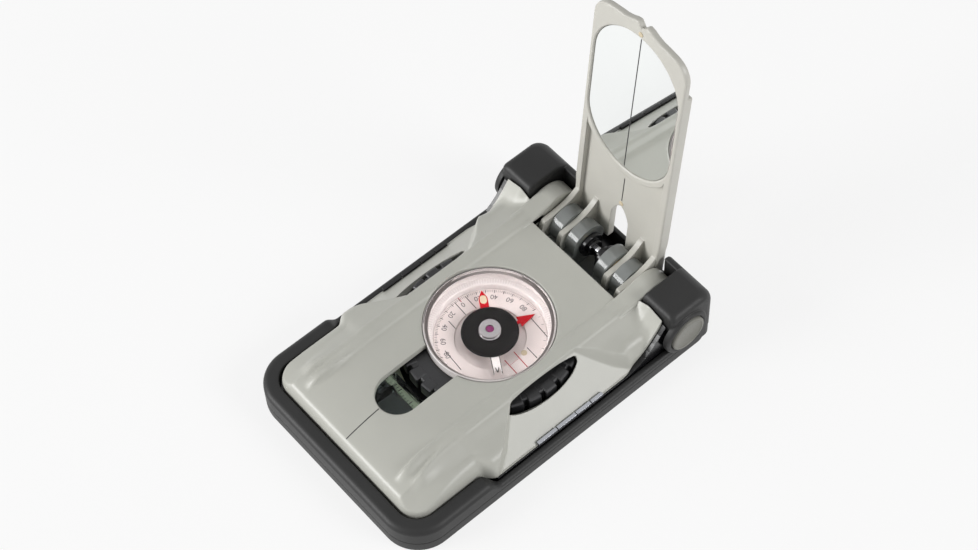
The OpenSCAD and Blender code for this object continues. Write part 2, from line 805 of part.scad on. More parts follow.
module knuckle(x0, x1) {
    on_axle(knuckle_r, x0, x1);
    front = hinge_y - recess_front + recess_gap;
    back = hinge_y + knuckle_foot;
    shelf = base_top + (hinge_z - base_top) * 0.75;
    along_x(x0, x1) polygon([
        [front, base_top], [back, base_top], [back, hinge_z], [hinge_y - knuckle_r, hinge_z],
        [hinge_y - knuckle_r, shelf], [front, shelf]
    ]);
}

module hinge_knuckles() {
    front = hinge_y - recess_front + recess_gap;
    color([0.75, 0.78, 0.8, 0.6])
    difference() {
        union() {
            both_sides() {
                knuckle(knuckle_gap_half, mid_out);
                knuckle(side_in, side_out);
            }
            translate([-side_out, front, base_top])
                cube([2 * side_out, hinge_y + knuckle_foot - front, hinge_z - ear_r - recess_gap - base_top]);
        }
        on_axle(axle_r + axle_gap, -half_w, half_w);
    }
}

module hinge_axle() {
    color([0.7, 0.7, 0.72])
    on_axle(axle_r, -half_w + cap_sink + 0.02, half_w - cap_sink - 0.02);
}

module axle_collars() {
    color([0.05, 0.05, 0.05])
    both_sides() difference() {
        union() {
            on_axle(collar_r, knuckle_gap_half - 0.9 - fit_gap, knuckle_gap_half - fit_gap);
            on_axle(collar_r * 0.64, collar_gap / 2, knuckle_gap_half - fit_gap);
        }
        on_axle(axle_r + axle_gap / 2, 0, half_w);
    }
}

module friction_washers() {
    color([0.55, 0.45, 0.25])
    both_sides() difference() {
        on_axle(washer_r, mid_out, mid_out + washer_t);
        on_axle(axle_r + axle_gap, 0, half_w);
    }
}

module axle_cap() {
    face = half_w + cap_proud;
    difference() {
        union() {
            on_axle(cap_r, half_w - cap_sink, face - 0.25);
            translate([face - 0.25, hinge_y, hinge_z]) rotate([0, 90, 0])
                cylinder(r1 = cap_r, r2 = cap_r - 0.35, h = 0.25);
            on_axle(2 * axle_r, half_w - 2 * cap_sink, half_w - cap_sink / 2);
        }
        on_axle(axle_r + axle_gap / 2, 0, half_w - cap_sink);
    }
}

module axle_cap_right() {
    color([0.45, 0.45, 0.43]) axle_cap();
}

module axle_cap_left() {
    color([0.45, 0.45, 0.43]) mirror([1, 0, 0]) axle_cap();
}

// Front end of a tab of the side strip
function tab_start(i) = i == 0 ? -strip_front : tab_start(i - 1) + tab_lengths[i - 1] + tab_gap;

// A row of small tabs that lies on the rim, beside the scallop's foot
module side_strip() {
    x0 = housing_half + strip_gap;
    wide = half_w - low_wall_t - strip_gap - x0;
    for (i = [0:3]) translate([x0, tab_start(i), rim_top]) cube([wide, tab_lengths[i], tab_rise]);
    translate([x0, -strip_front, rim_top])
        cube([wide, tab_start(3) + tab_lengths[3] + strip_front, tab_rise / 2]);
}

module side_strip_right() {
    color([0.75, 0.76, 0.78]) side_strip();
}

module side_strip_left() {
    color([0.75, 0.76, 0.78]) mirror([1, 0, 0]) side_strip();
}

module window_lens() {
    color([0.8, 0.85, 0.85, 0.5])
    difference() {
        translate([0, 0, roof_z - lens_depth]) linear_extrude(lens_depth) window_outline(lens_gap);
        cylinder(r = knurl_r + dial_gap, h = deck_z);
    }
}

module lens_mount() {
    front = -window_reach + lens_gap;
    back = -scale_r - dial_gap;
    color([0.1, 0.1, 0.1])
    translate([-window_half * 0.7, front + 0.6, base_top])
        cube([window_half * 1.4, back - front - 0.6, roof_z - lens_depth - base_top]);
}

module small_screw_places() {
    for (a = [90:120:330]) rotate(a) translate([hub_r * 0.7, 0, 0]) children();
}

module dial_retainer() {
    z0 = scale_z + dial_float / 2;
    color([0.6, 0.6, 0.6])
    difference() {
        translate([0, 0, z0]) cylinder(r = hub_r + retainer_lap, h = retainer_t);
        translate([0, 0, z0 - over]) cylinder(r = hub_r * 0.4, h = retainer_t + 2 * over);
        small_screw_places() cylinder(r = small_screw_r + screw_gap, h = deck_z);
        small_screw_places() translate([0, 0, z0 + retainer_t / 2])
            cylinder(r = small_head_r + screw_gap, h = deck_z);
    }
}

module retainer_screws() {
    top = scale_z + dial_float / 2 + retainer_t;
    color([0.6, 0.6, 0.62])
    small_screw_places() {
        translate([0, 0, base_top - base_t / 2])
            cylinder(r = small_screw_r, h = top - base_top + base_t / 2 - 0.05);
        translate([0, 0, top - retainer_t / 2 + 0.01])
            cylinder(r = small_head_r, h = retainer_t / 2 - 0.05);
    }
}

module dial_ring() {
    neck_r = capsule_r + 1.4;
    color([0.1, 0.1, 0.1])
    difference() {
        union() {
            translate([0, 0, flange_z]) cylinder(r = scale_r, h = flange_t);
            translate([0, 0, flange_z]) cylinder(r = neck_r, h = knurl_top - flange_z);
            translate([0, 0, knurl_z]) cylinder(r = knurl_r, h = knurl_h);
        }
        translate([0, 0, scale_z]) cylinder(r = capsule_r + hub_gap, h = knurl_top);
        cylinder(r = hub_r + hub_gap, h = knurl_top);
        for (i = [0:knurl_count - 1]) rotate(i * 360 / knurl_count)
            translate([knurl_r - knurl_groove_d, -knurl_groove_w / 2, knurl_z - over])
                cube([knurl_groove_d + over, knurl_groove_w, knurl_h + 2 * over]);
    }
}

module bearing_scale_ring() {
    color([0.88, 0.9, 0.8])
    difference() {
        translate([0, 0, scale_z]) cylinder(r = scale_r, h = scale_t);
        cylinder(r = scale_r - scale_w, h = deck_z);
    }
}

module capsule_bowl() {
    color([0.85, 0.87, 0.9, 0.4])
    difference() {
        union() {
            translate([0, 0, bowl_z]) cylinder(r = capsule_r, h = bowl_rim_z - bowl_z);
            translate([0, 0, scale_z]) cylinder(r = capsule_r, h = bowl_z - scale_z);
        }
        translate([0, 0, bowl_floor_z]) cylinder(r = bowl_in_r, h = deck_z);
        translate([0, 0, scale_z - over]) cylinder(r = bowl_in_r, h = bowl_z - scale_z + over);
    }
}

module capsule_top() {
    color([0.85, 0.87, 0.9, 0.4])
    rotate_extrude() polygon([
        [0, glass_z], [capsule_r, glass_z], [capsule_r, capsule_top_z - 0.3],
        [capsule_r - 0.3, capsule_top_z],
        [0, capsule_top_z]
    ]);
}

module capsule_seal() {
    color([0.2, 0.2, 0.2])
    difference() {
        translate([0, 0, bowl_rim_z]) cylinder(r = capsule_r - 0.15, h = seal_t);
        translate([0, 0, bowl_rim_z - over]) cylinder(r = bowl_in_r + 0.1, h = seal_t + 2 * over);
    }
}

module orienting_disc() {
    color([0.93, 0.9, 0.9])
    difference() {
        translate([0, 0, bowl_floor_z]) cylinder(r = bowl_in_r - 0.1, h = orient_t);
        translate([0, 0, bowl_floor_z - over]) cylinder(r = post_r + screw_gap, h = orient_t + 2 * over);
    }
}

module pivot_post() {
    shoulder = disc_z;
    color([0.65, 0.65, 0.68])
    rotate_extrude() polygon([
        [0, bowl_floor_z], [post_r, bowl_floor_z], [post_r, orient_z], [post_r * 2, orient_z],
        [post_r * 2, orient_z + pointer_gap], [post_r, orient_z + pointer_gap], [post_r, shoulder],
        [0.08, boss_z + boss_ring_h - 0.5], [0, boss_z + boss_ring_h - 0.5]
    ]);
}

module post_hole() {
    cylinder(r = post_r + post_gap, h = boss_z);
}

module needle_arms() {
    half = arm_w / 2;
    color([0.8, 0.1, 0.12])
    rotate(needle_angle) translate([0, 0, arm_z]) difference() {
        union() {
            linear_extrude(arm_t) polygon([
                [north_len - 1.4, -half], [north_len, 0], [north_len - 1.4, half],
                [-south_len + 0.7, half], [-south_len, half * 0.9], [-south_len + 2 * half, 0],
                [-south_len, -half * 0.9], [-south_len + 0.7, -half]
            ]);
            cylinder(r = disc_r * 0.7, h = arm_t);
        }
        translate([0, 0, -over]) cylinder(r = post_r + post_gap, h = arm_t + 2 * over);
    }
}

module needle_disc() {
    color([0.08, 0.08, 0.08])
    difference() {
        translate([0, 0, disc_z]) cylinder(r = disc_r, h = disc_t);
        post_hole();
    }
}

module needle_boss() {
    color([0.75, 0.75, 0.77])
    difference() {
        rotate_extrude() polygon([
            [0, boss_z], [boss_ring_r, boss_z], [boss_ring_r, boss_z + boss_ring_h * 0.4],
            [boss_ring_r * 0.8, boss_z + boss_ring_h * 0.6], [boss_ring_r * 0.72, boss_z + boss_ring_h],
            [0, boss_z + boss_ring_h]
        ]);
        translate([0, 0, boss_z - over]) cylinder(r = jewel_r + 0.02, h = boss_ring_h + 2 * over);
    }
}

module needle_jewel() {
    color([0.55, 0.0, 0.4])
    difference() {
        translate([0, 0, boss_z]) cylinder(r = jewel_r, h = boss_ring_h - 0.1);
        translate([0, 0, boss_z - over]) cylinder(r = post_r + post_gap, h = boss_ring_h - 0.5 + over);
    }
}

module needle_glow() {
    color([0.85, 0.84, 0.7])
    rotate(needle_angle) translate([0, 0, arm_z + arm_t]) linear_extrude(glow_t) polygon(concat(
        arc(disc_r + 3 * glow_r, 0, glow_r, -90, 90),
        arc(disc_r + 1.3 * glow_r, 0, glow_r, 90, 270)
    ));
}

module needle_magnet() {
    color([0.4, 0.4, 0.42])
    difference() {
        translate([0, 0, magnet_z]) cylinder(r = magnet_r, h = magnet_t);
        post_hole();
    }
}

module clinometer_pointer() {
    hub = post_r * 2 + 1;
    color([0.8, 0.05, 0.1])
    rotate(clinometer_angle) translate([0, 0, pointer_z]) difference() {
        linear_extrude(pointer_t) union() {
            circle(r = hub);
            translate([0, -0.4]) square([pointer_len - 3, 0.8]);
            polygon([[pointer_len - 3.2, -1.15], [pointer_len, 0], [pointer_len - 3.2, 1.15]]);
        }
        translate([0, 0, -over]) cylinder(r = post_r * 2 + 0.02, h = pointer_t + 2 * over);
    }
}

module clinometer_bush() {
    color([0.75, 0.6, 0.3])
    difference() {
        translate([0, 0, pointer_z]) cylinder(r = post_r * 2, h = pointer_t);
        post_hole();
    }
}

// Puts children drawn in the lid's own frame in place
module on_lid() {
    translate([0, hinge_y, hinge_z]) rotate([lid_angle, 0, 0]) children();
}

// A plate in the lid's frame between two depths behind the axis
module lid_plate(face, back) {
    translate([0, 0, -back]) linear_extrude(back - face) children();
}

module lid_outline() {
    peak = lid_len + notch_d;
    half = [
        [0, lid_len], [notch_half, peak], [notch_half * 2, peak - 0.2], [notch_half * 4, lid_len + 0.15],
        [notch_half * 6, lid_len]
    ];
    right = concat(
        half, arc(lid_half - lid_corner_r, lid_len - lid_corner_r - 0.3, lid_corner_r, 75, 0),
        [[lid_half, -lid_tail]]
    );
    left = [for (i = [len(right) - 1:-1:1]) [-right[i][0], right[i][1]]];
    polygon(concat(right, left));
}

module mirror_outline(inset) {
    r = mirror_half - inset;
    polygon(concat(
        arc(0, mirror_high_s, r, 0, 180, 24),
        arc(0, mirror_low_s, r, 180, 360, 24)
    ));
}

module sight_outline() {
    polygon([
        [-sight_half, -lid_tail - over], [sight_half, -lid_tail - over], [sight_half, sight_straight],
        [sight_half * 0.62, sight_straight + (sight_top - sight_straight) * 0.62], [0, sight_top],
        [-sight_half * 0.62, sight_straight + (sight_top - sight_straight) * 0.62],
        [-sight_half, sight_straight]
    ]);
}

// An ear in the lid's own frame: a disc on the axis with a web to the panel
module ear(x0, r, top) {
    difference() {
        translate([x0, 0, 0]) rotate([90, 0, 90]) linear_extrude(ear_t) union() {
            circle(r = r);
            polygon([
                [-lid_tail, 0], [-lid_tail, -panel_face - 0.2], [top, -panel_face - 0.2],
                [r * cos(30), -r * sin(30)]
            ]);
        }
        translate([x0 - over, 0, 0]) rotate([0, 90, 0])
            cylinder(r = axle_r + axle_gap, h = ear_t + 2 * over);
    }
}

module lid_frame() {
    color([0.78, 0.77, 0.74])
    on_lid() {
        difference() {
            union() {
                intersection() {
                    lid_plate(lid_front, lid_back) lid_outline();
                    translate([-lid_half, -lid_tail, -lid_back]) cube([lid_w, lid_tail + lid_step, lid_t]);
                }
                lid_plate(lid_front, lid_thin_back) lid_outline();
            }
            // The lower panel lies deeper than the flanges and the bezel
            difference() {
                translate([-lid_half + flange_w, -lid_tail - over, -panel_face])
                    cube([lid_w - 2 * flange_w, lid_tail + over + mirror_low_s, panel_face]);
                translate([0, mirror_low_s, -panel_face - over])
                    cylinder(r = mirror_half + bezel_w, h = 2 * panel_face);
            }
            translate([0, 0, -pad_face - pad_t]) linear_extrude(pad_face + pad_t) mirror_outline(0);
            translate([0, 0, -lid_back - over]) linear_extrude(lid_back) sight_outline();
        }
        both_sides() ear(ear_in, ear_r, ear_r + 2.6);
        both_sides() ear(outer_ear_in, outer_ear_r, outer_ear_r + 3);
    }
}

module mirror_glass() {
    color([0.85, 0.88, 0.9])
    on_lid() lid_plate(mirror_face, pad_face) mirror_outline(mirror_gap);
}

module mirror_pad() {
    color([0.3, 0.3, 0.3])
    on_lid() lid_plate(pad_face, pad_face + pad_t) mirror_outline(1);
}

module sight_dots() {
    color([0.88, 0.87, 0.78])
    on_lid() {
        translate([0, mirror_high_s + mirror_half + dot_r + 0.4, -lid_front]) cylinder(r = dot_r, h = 0.12);
        translate([0, sight_top + dot_r + 0.2, -panel_face]) cylinder(r = dot_r, h = 0.12);
    }
}

armour_tray();
inner_base();
top_housing();
housing_screws();
hinge_knuckles();
hinge_axle();
axle_collars();
friction_washers();
axle_cap_left();
axle_cap_right();
side_strip_left();
side_strip_right();
window_lens();
lens_mount();
dial_retainer();
retainer_screws();
dial_ring();
bearing_scale_ring();
capsule_bowl();
capsule_top();
capsule_seal();
orienting_disc();
pivot_post();
needle_arms();
needle_disc();
needle_boss();
needle_jewel();
needle_glow();
needle_magnet();
clinometer_pointer();
clinometer_bush();
lid_frame();
mirror_glass();
mirror_pad();
sight_dots();
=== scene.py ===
"""Looks of the mirror compass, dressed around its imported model.

Shapes are drawn in millimetres in the CAD frame: the origin lies under the dial's axis, +Y points to the
hinge and +Z up. dress() turns a finished piece into metres and gives it its material and its body.
"""

from math import atan2, cos, hypot, pi, radians, sin, sqrt, tau

import bmesh
import bpy
from mathutils import Matrix, Vector


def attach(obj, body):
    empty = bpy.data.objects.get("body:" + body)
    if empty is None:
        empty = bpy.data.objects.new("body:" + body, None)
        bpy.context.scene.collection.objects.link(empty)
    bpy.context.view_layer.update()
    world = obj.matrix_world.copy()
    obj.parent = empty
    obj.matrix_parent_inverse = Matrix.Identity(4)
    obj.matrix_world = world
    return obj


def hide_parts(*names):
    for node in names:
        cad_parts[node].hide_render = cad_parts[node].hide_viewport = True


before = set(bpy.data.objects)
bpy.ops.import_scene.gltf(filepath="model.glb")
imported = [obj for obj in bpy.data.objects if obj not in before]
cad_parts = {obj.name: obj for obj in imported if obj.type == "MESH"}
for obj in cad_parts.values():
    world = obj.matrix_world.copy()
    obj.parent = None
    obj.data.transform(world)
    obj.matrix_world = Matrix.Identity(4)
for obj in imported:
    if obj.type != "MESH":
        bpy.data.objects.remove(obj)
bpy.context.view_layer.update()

MM = 0.001

# The photograph's camera, around the point on the table under the dial's axis
CAMERA_AZIMUTH = radians(51.73)
CAMERA_ELEVATION = radians(57.29)
CAMERA_ROLL = radians(-3.12)
CAMERA_DISTANCE = 417.13 * MM
CAMERA_RIGHT = -0.41 * MM
CAMERA_UP = 14.35 * MM
CAMERA_LENS = 86.52

# Armoured case
HALF_W = 22.5
CASE_FRONT = -36.7
CASE_BACK = 32.6
FRONT_CORNER = 7
BACK_CORNER = 3.6
FLOOR_Z = 1.2
FRONT_TOP = 6.6
LOW_TOP = 4.1
REAR_TOP = 5.7
FRONT_WALL = 2.85
LOW_WALL = 1.25
REAR_WALL = 1.0
FRONT_TURN = 1.25
LOW_TURN = 0.6
GROOVE_LOW = 2.55
GROOVE_HIGH = 2.95
GROOVE_DEPTH = 0.1
RAMP_START = -19.5
RAMP_END = -16.7

# Hinge
HINGE_Y = 25.6
HINGE_Z = 7.88
LUG_IN = 14.8
LUG_FRONT = 22.3
LUG_TOP = 14.3
LUG_FOOT = 3.65
LUG_BACK_R = 3.6
LUG_CORNER = 2.0
LUG_TURN = 1.3
RETURN_IN = 11.4
RETURN_Y = 30.6
CAP_R = 3.62
BOSS_R = 4.9
AXLE_R = 0.7
KNUCKLE_R = 3.7
KNUCKLE_FRONT = -5.8
KNUCKLE_SPANS = ((2.55, 5.05), (6.57, 9.25))
EAR_R = 4.39
OUTER_EAR_R = 5.3
EAR_T = 1.1
INNER_EAR_X = 5.37
OUTER_EAR_X = 9.35

# Housing
BASE_TOP = 2.2
RIM_TOP = 4.5
DECK_Z = 11.13
DECK_FLAT_TO = -11
DECK_BEND = 2.515e-4
EDGE_REACH = 2.6
EDGE_LOW = 5.0
EDGE_RISE = 4.6
SHOULDER_Y = 12.4
SHOULDER_FOOT = 4.6
SHELL_T = 1.3
NOSE_Y = -33.5
HOUSING_BACK = 22.0
NARROW_HALF = 19.4
WIDE_HALF = 20.9
PLAN_CORNER = 4.2
RECESS_HALF = 10.75
RECESS_Y = 19.5
OPENING_R = 11.96
OPENING_FLARE = 0.3
OPENING_INSET = 0.22
WINDOW_HALF = 4.15
WINDOW_REACH = 24.7
WINDOW_FLARE = 0.12
LENS_BACK = -16.75
LENS_LOW = 5.63
LENS_TOP = 9.83
SCALLOP_TOP_X = 14.0
SCALLOP_TOP_Z = 11.0
SCALLOP_LOW = 4.75
SCALLOP_FALL = 0.942
SCALLOP_FRONT = [(14.0, -7.5), (16.6, -10.7), (18.8, -13.1), (20.1, -15.1), (20.9, -16.4)]
SCALLOP_BACK = [(14.0, 7.0), (15.5, 8.4), (17.2, 10.2), (19.0, 12.2), (20.9, 15.0)]
SCALLOP_RISE = [(14.0, 8.0), (16.0, 10.9), (18.2, 12.8), (20.9, 15.9)]
SLOT_DOWN = 0.9
SLOT_ALONG = -1.2
SLOT_REACH = 8.2
SLOT_LOWER = 3.1
SLOT_UPPER = 1.0
TAB_START = -7.4
TAB_LENGTHS = (4.3, 4.2, 3.2, 2.6)
TAB_GAP = 0.2

# Dial and capsule
DIAL_LOW = 2.4
DIAL_BORE_R = 8.06
KNURL_COUNT = 30
KNURL_R = 16.3
KNURL_LOW = 6.63
KNURL_TOP = 9.43
SCALE_R = 18.9
SCALE_IN = 16.6
SCALE_LOW = 3.2
SCALE_TOP = 4.0
CAPSULE_R = 11.66
BOWL_IN = 10.66
BOWL_FLOOR = 5.6
PLATE_Z = 6.3
PLATE_DROP = 0.55
GLASS_Z = 10.23
GLASS_R = 11.32
RIM_STEP_Z = 7.78
CLINOMETER_ZERO = 174.5

# Needle and clinometer pointer
NEEDLE_ANGLE = 149
NEEDLE_Z = 7.7
NEEDLE_TOP = 7.88
FORK_TOP = 7.82
DISC_Z = 7.9
DISC_TOP = 8.2
DISC_R = 5.12
POST_R = 0.46
JEWEL_R = 0.77
POINTER_ANGLE = 78
POINTER_Z = 6.6
POINTER_TOP = 6.83

# Lid, in its own frame: s runs up from the hinge axis, m goes back from it
LID_ANGLE = radians(84.72)
LID_HALF = 10.9
LID_FOOT_HALF = 10.7
LID_LEN = 56
LID_TAIL = 1.5
LID_FACE = 3.43
LID_BACK = 5.77
LID_THIN_BACK = 4.73
LID_STEP = 47.7
LID_CORNER = 4.2
PANEL_M = 4.38
POCKET_M = 4.23
MIRROR_M = 3.73
MIRROR_BACK = 4.13
MIRROR_R = 10.0
MIRROR_LOW_S = 31
MIRROR_HIGH_S = 44
BEZEL_W = 1.1
FLANGE_W = 1.3
LINE_HALF = 0.1
DOT_R = 0.5
LOW_DOT_S = 10.2
HIGH_DOT_S = 55.0

# Prints and node trees: the last line numbers the sockets of a colour mix node
INK_T = 0.02
WHITE = (1, 1, 1, 1)
MIX_FACTOR, MIX_A, MIX_B, MIX_RESULT = 0, 6, 7, 2


# ---- numbers

def clamp(value, low=0.0, high=1.0):
    return max(low, min(high, value))


def mix(a, b, t):
    return a + (b - a) * t


def smooth(value, start, end):
    t = clamp((value - start) / (end - start))
    return t * t * (3 - 2 * t)


def soft_min(a, b, k):
    h = max(k - abs(a - b), 0) / k
    return min(a, b) - h * h * k / 4


def soft_max(a, b, k):
    return -soft_min(-a, -b, k)


def through(x, knots):
    """A smooth curve through knots of (x, value, slope)."""
    if x <= knots[0][0]:
        return knots[0][1]
    for (x0, v0, s0), (x1, v1, s1) in zip(knots, knots[1:]):
        if x <= x1:
            w = x1 - x0
            t = (x - x0) / w
            bend = t * (1 - t)
            return mix(v0, v1, t * t * (3 - 2 * t)) + bend * w * ((1 - t) * s0 - t * s1)
    return knots[-1][1]


def along(x, points):
    """Straight lines through points of (x, value)."""
    for (x0, v0), (x1, v1) in zip(points, points[1:]):
        if x <= x1:
            return mix(v0, v1, clamp((x - x0) / (x1 - x0)))
    return points[-1][1]


def arc(cx, cy, radius, start, end, count=10):
    angles = [radians(mix(start, end, i / count)) for i in range(count + 1)]
    return [(cx + radius * cos(a), cy + radius * sin(a)) for a in angles]


def steps(start, end, count, ease=0.0):
    """Places from start up to, but without, end. Ease above 0 packs them closer at the start."""
    return [mix(start, end, (i / count) ** (1 + ease)) for i in range(count)]


# ---- places

def flat(u, v, w):
    return (u, v, w)


def at_height(z):
    return lambda u, v, w: (u, v, z + w)


def across(u, v, w):
    """Outlines in (y, z), run along x."""
    return (w, u, v)


def round_hinge(u, v, w):
    """Outlines round the hinge axis, run along x."""
    return (w, HINGE_Y + u, HINGE_Z + v)


def on_lid(x, s, m):
    back = HINGE_Y + s * cos(LID_ANGLE) + m * sin(LID_ANGLE)
    return (x, back, HINGE_Z + s * sin(LID_ANGLE) - m * cos(LID_ANGLE))


def lid_side(u, v, w):
    """Outlines in the lid's (s, m), run along x."""
    return on_lid(w, u, v)


def direction(degrees):
    return cos(radians(degrees)), sin(radians(degrees))


def turned(degrees):
    """A place function that turns flat outlines about the dial's axis."""
    c, s = direction(degrees)
    return lambda u, v, w: (u * c - v * s, u * s + v * c, w)


def joined(outer, inner):
    return lambda u, v, w: outer(*inner(u, v, w))


def mirrored(place):
    return joined(lambda x, y, z: (-x, y, z), place)


SIDES = {"right": flat, "left": mirrored(flat)}
on_plate = at_height(PLATE_Z)


def arc_walk(cx, cy, radius, start, end, count):
    """An arc as (x, y, outward x, outward y)."""
    walk = [direction(start + (end - start) * i / count) for i in range(count + 1)]
    return [(cx + radius * c, cy + radius * s, c, s) for c, s in walk]


# ---- meshes

def add_object(name, data):
    obj = bpy.data.objects.new(name, data)
    bpy.context.scene.collection.objects.link(obj)
    return obj


def edit(obj, change):
    work = bmesh.new()
    work.from_mesh(obj.data)
    change(work)
    work.to_mesh(obj.data)
    work.free()
    return obj


def shape(name, verts, faces):
    """A closed mesh with its double points merged and its faces turned outward."""
    def change(work):
        bmesh.ops.remove_doubles(work, verts=work.verts, dist=1e-4)
        bmesh.ops.dissolve_degenerate(work, edges=work.edges, dist=1e-5)
        bmesh.ops.recalc_face_normals(work, faces=work.faces)
    mesh = bpy.data.meshes.new(name)
    mesh.from_pydata(verts, [], faces)
    return edit(add_object(name, mesh), change)


def loft(name, rings):
    """Skins rings of equally many points and closes both ends."""
    count = len(rings[0])
    verts = [p for ring in rings for p in ring]
    faces = []
    for a in range(0, len(verts) - count, count):
        b = a + count
        faces += [(a + i, a + (i + 1) % count, b + (i + 1) % count, b + i) for i in range(count)]
    faces.append(tuple(range(count)))
    faces.append(tuple(range(len(verts) - count, len(verts))))
    return shape(name, verts, faces)


def prism(name, outline, low, high, place=flat):
    return loft(name, [[place(u, v, w) for u, v in outline] for w in (low, high)])


def lathe(name, profile, place=flat, count=128, closed=False):
    """Turns a profile of (radius, height) round the axis."""
    rings = []
    for k in range(count):
        c = cos(tau * k / count)
        s = sin(tau * k / count)
        rings.append([place(r * c, r * s, z) for r, z in profile])
    size = len(profile)
    faces = []
    for k in range(count):
        a = k * size
        b = (k + 1) % count * size
        for i in range(size if closed else size - 1):
            j = (i + 1) % size
            faces.append((a + i, a + j, b + j, b + i))
    return shape(name, [p for ring in rings for p in ring], faces)


def soften(obj, width, segments=2, angle=35):
    """Rounds the edges that are sharper than an angle."""
    def change(work):
        sharp = [e for e in work.edges if e.is_manifold and e.calc_face_angle(0) > radians(angle)]
        bmesh.ops.bevel(work, geom=sharp, offset=width, segments=segments, profile=0.5, affect="EDGES",
                        clamp_overlap=True, harden_normals=False)
    return edit(obj, change)


def final_mesh(obj):
    graph = bpy.context.evaluated_depsgraph_get()
    return bpy.data.meshes.new_from_object(obj.evaluated_get(graph))


def bake(obj):
    """Applies the modifiers of an object."""
    mesh = final_mesh(obj)
    obj.modifiers.clear()
    obj.data = mesh
    return obj


def combine(obj, others, solver="EXACT"):
    """Cuts others out of a solid. They are used up."""
    for other in others:
        modifier = obj.modifiers.new("combine", "BOOLEAN")
        modifier.operation = "DIFFERENCE"
        modifier.solver = solver
        modifier.object = other
    bake(obj)
    for other in others:
        bpy.data.objects.remove(other)
    return obj


def gather(obj, others):
    """Puts other meshes into an object's mesh."""
    def change(work):
        for other in others:
            work.from_mesh(other.data)
    edit(obj, change)
    for other in others:
        bpy.data.objects.remove(other)
    return obj


def flats(name, outlines, place, thick=INK_T):
    """Thin flat marks, printed on a surface."""
    plates = [prism(name, outline, 0, thick, place) for outline in outlines]
    return gather(plates[0], plates[1:])


def stroke(x0, y0, x1, y1, width):
    """The outline of a straight printed line."""
    length = hypot(x1 - x0, y1 - y0)
    nx = -(y1 - y0) / length * width / 2
    ny = (x1 - x0) / length * width / 2
    return [(x0 + nx, y0 + ny), (x1 + nx, y1 + ny), (x1 - nx, y1 - ny), (x0 - nx, y0 - ny)]


def spoke(angle, inner, outer, width):
    c, s = direction(angle)
    return stroke(inner * c, inner * s, outer * c, outer * s, width)


def digits(text, size, place, out):
    """A printed number, centred at a distance out from the place's origin."""
    curve = bpy.data.curves.new("digits", "FONT")
    curve.body = text
    curve.size = size
    curve.align_x = curve.align_y = "CENTER"
    holder = add_object("digits", curve)
    mesh = final_mesh(holder)
    verts = [place(v.co.x, out + v.co.y, INK_T) for v in mesh.vertices]
    obj = shape("digits", verts, [tuple(p.vertices) for p in mesh.polygons])
    bpy.data.objects.remove(holder)
    return obj


def dress(obj, material, body="root", replaces=(), sharp=32):
    """Turns a piece into metres, smooths its curved faces and gives it its material and body."""
    obj.data.transform(Matrix.Scale(MM, 4))
    obj.data.shade_smooth()
    obj.data.set_sharp_from_angle(angle=radians(sharp))
    modifier = obj.modifiers.new("even", "WEIGHTED_NORMAL")
    modifier.keep_sharp = True
    bake(obj)
    obj.data.materials.clear()
    obj.data.materials.append(material)
    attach(obj, body)
    if replaces:
        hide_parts(*replaces)
    return obj


# ---- materials

def rgb(red, green, blue):
    """A screen colour as the linear colour that Blender works in."""
    def linear(value):
        value /= 255
        return value / 12.92 if value <= 0.04045 else ((value + 0.055) / 1.055) ** 2.4
    return (linear(red), linear(green), linear(blue), 1)


def scaled(color, factor):
    return tuple(clamp(c * factor) for c in color[:3]) + (1,)


def feed(tree, node, values):
    """Gives inputs of a node values, or links from the outputs of other nodes."""
    for key, value in values.items():
        if isinstance(value, bpy.types.NodeSocket):
            tree.links.new(value, node.inputs[key])
        else:
            node.inputs[key].default_value = value
    return node


def add_node(tree, kind, values, **settings):
    node = tree.nodes.new("ShaderNode" + kind)
    for key, value in settings.items():
        setattr(node, key, value)
    return feed(tree, node, values)


def add_noise(tree, size, detail):
    """Noise whose blobs are about size millimetres across."""
    place = add_node(tree, "TexCoord", {}).outputs["Object"]
    noise = add_node(tree, "TexNoise", {"Scale": 1 / (size * MM), "Detail": detail, "Vector": place})
    return noise.outputs["Fac"]


def add_range(tree, source, low, high, start=0.3, end=0.7):
    ends = {"From Min": start, "From Max": end, "To Min": low, "To Max": high}
    return add_node(tree, "MapRange", {"Value": source, **ends}).outputs["Result"]


def add_mix(tree, factor, first, second):
    values = {MIX_FACTOR: factor, MIX_A: first, MIX_B: second}
    return add_node(tree, "Mix", values, data_type="RGBA").outputs[MIX_RESULT]


def mix_shaders(tree, factor, first, second, output="Material Output"):
    """Ends a tree in a mix of two shaders."""
    chooser = add_node(tree, "MixShader", {"Fac": factor, 1: first, 2: second})
    feed(tree, tree.nodes[output], {"Surface": chooser.outputs["Shader"]})


def add_edges(tree, radius):
    """A factor that is 1 along edges and corners, and the softened normal there."""
    bevel = add_node(tree, "Bevel", {"Radius": radius * MM}, samples=4).outputs["Normal"]
    surface = add_node(tree, "NewGeometry", {}).outputs["Normal"]
    dot = add_node(tree, "VectorMath", {0: bevel, 1: surface}, operation="DOT_PRODUCT")
    return add_range(tree, dot.outputs["Value"], 1, 0, 0.82, 0.99), bevel


def add_material(name):
    material = bpy.data.materials.new(name)
    material.use_nodes = True
    return material, material.node_tree, material.node_tree.nodes["Principled BSDF"]


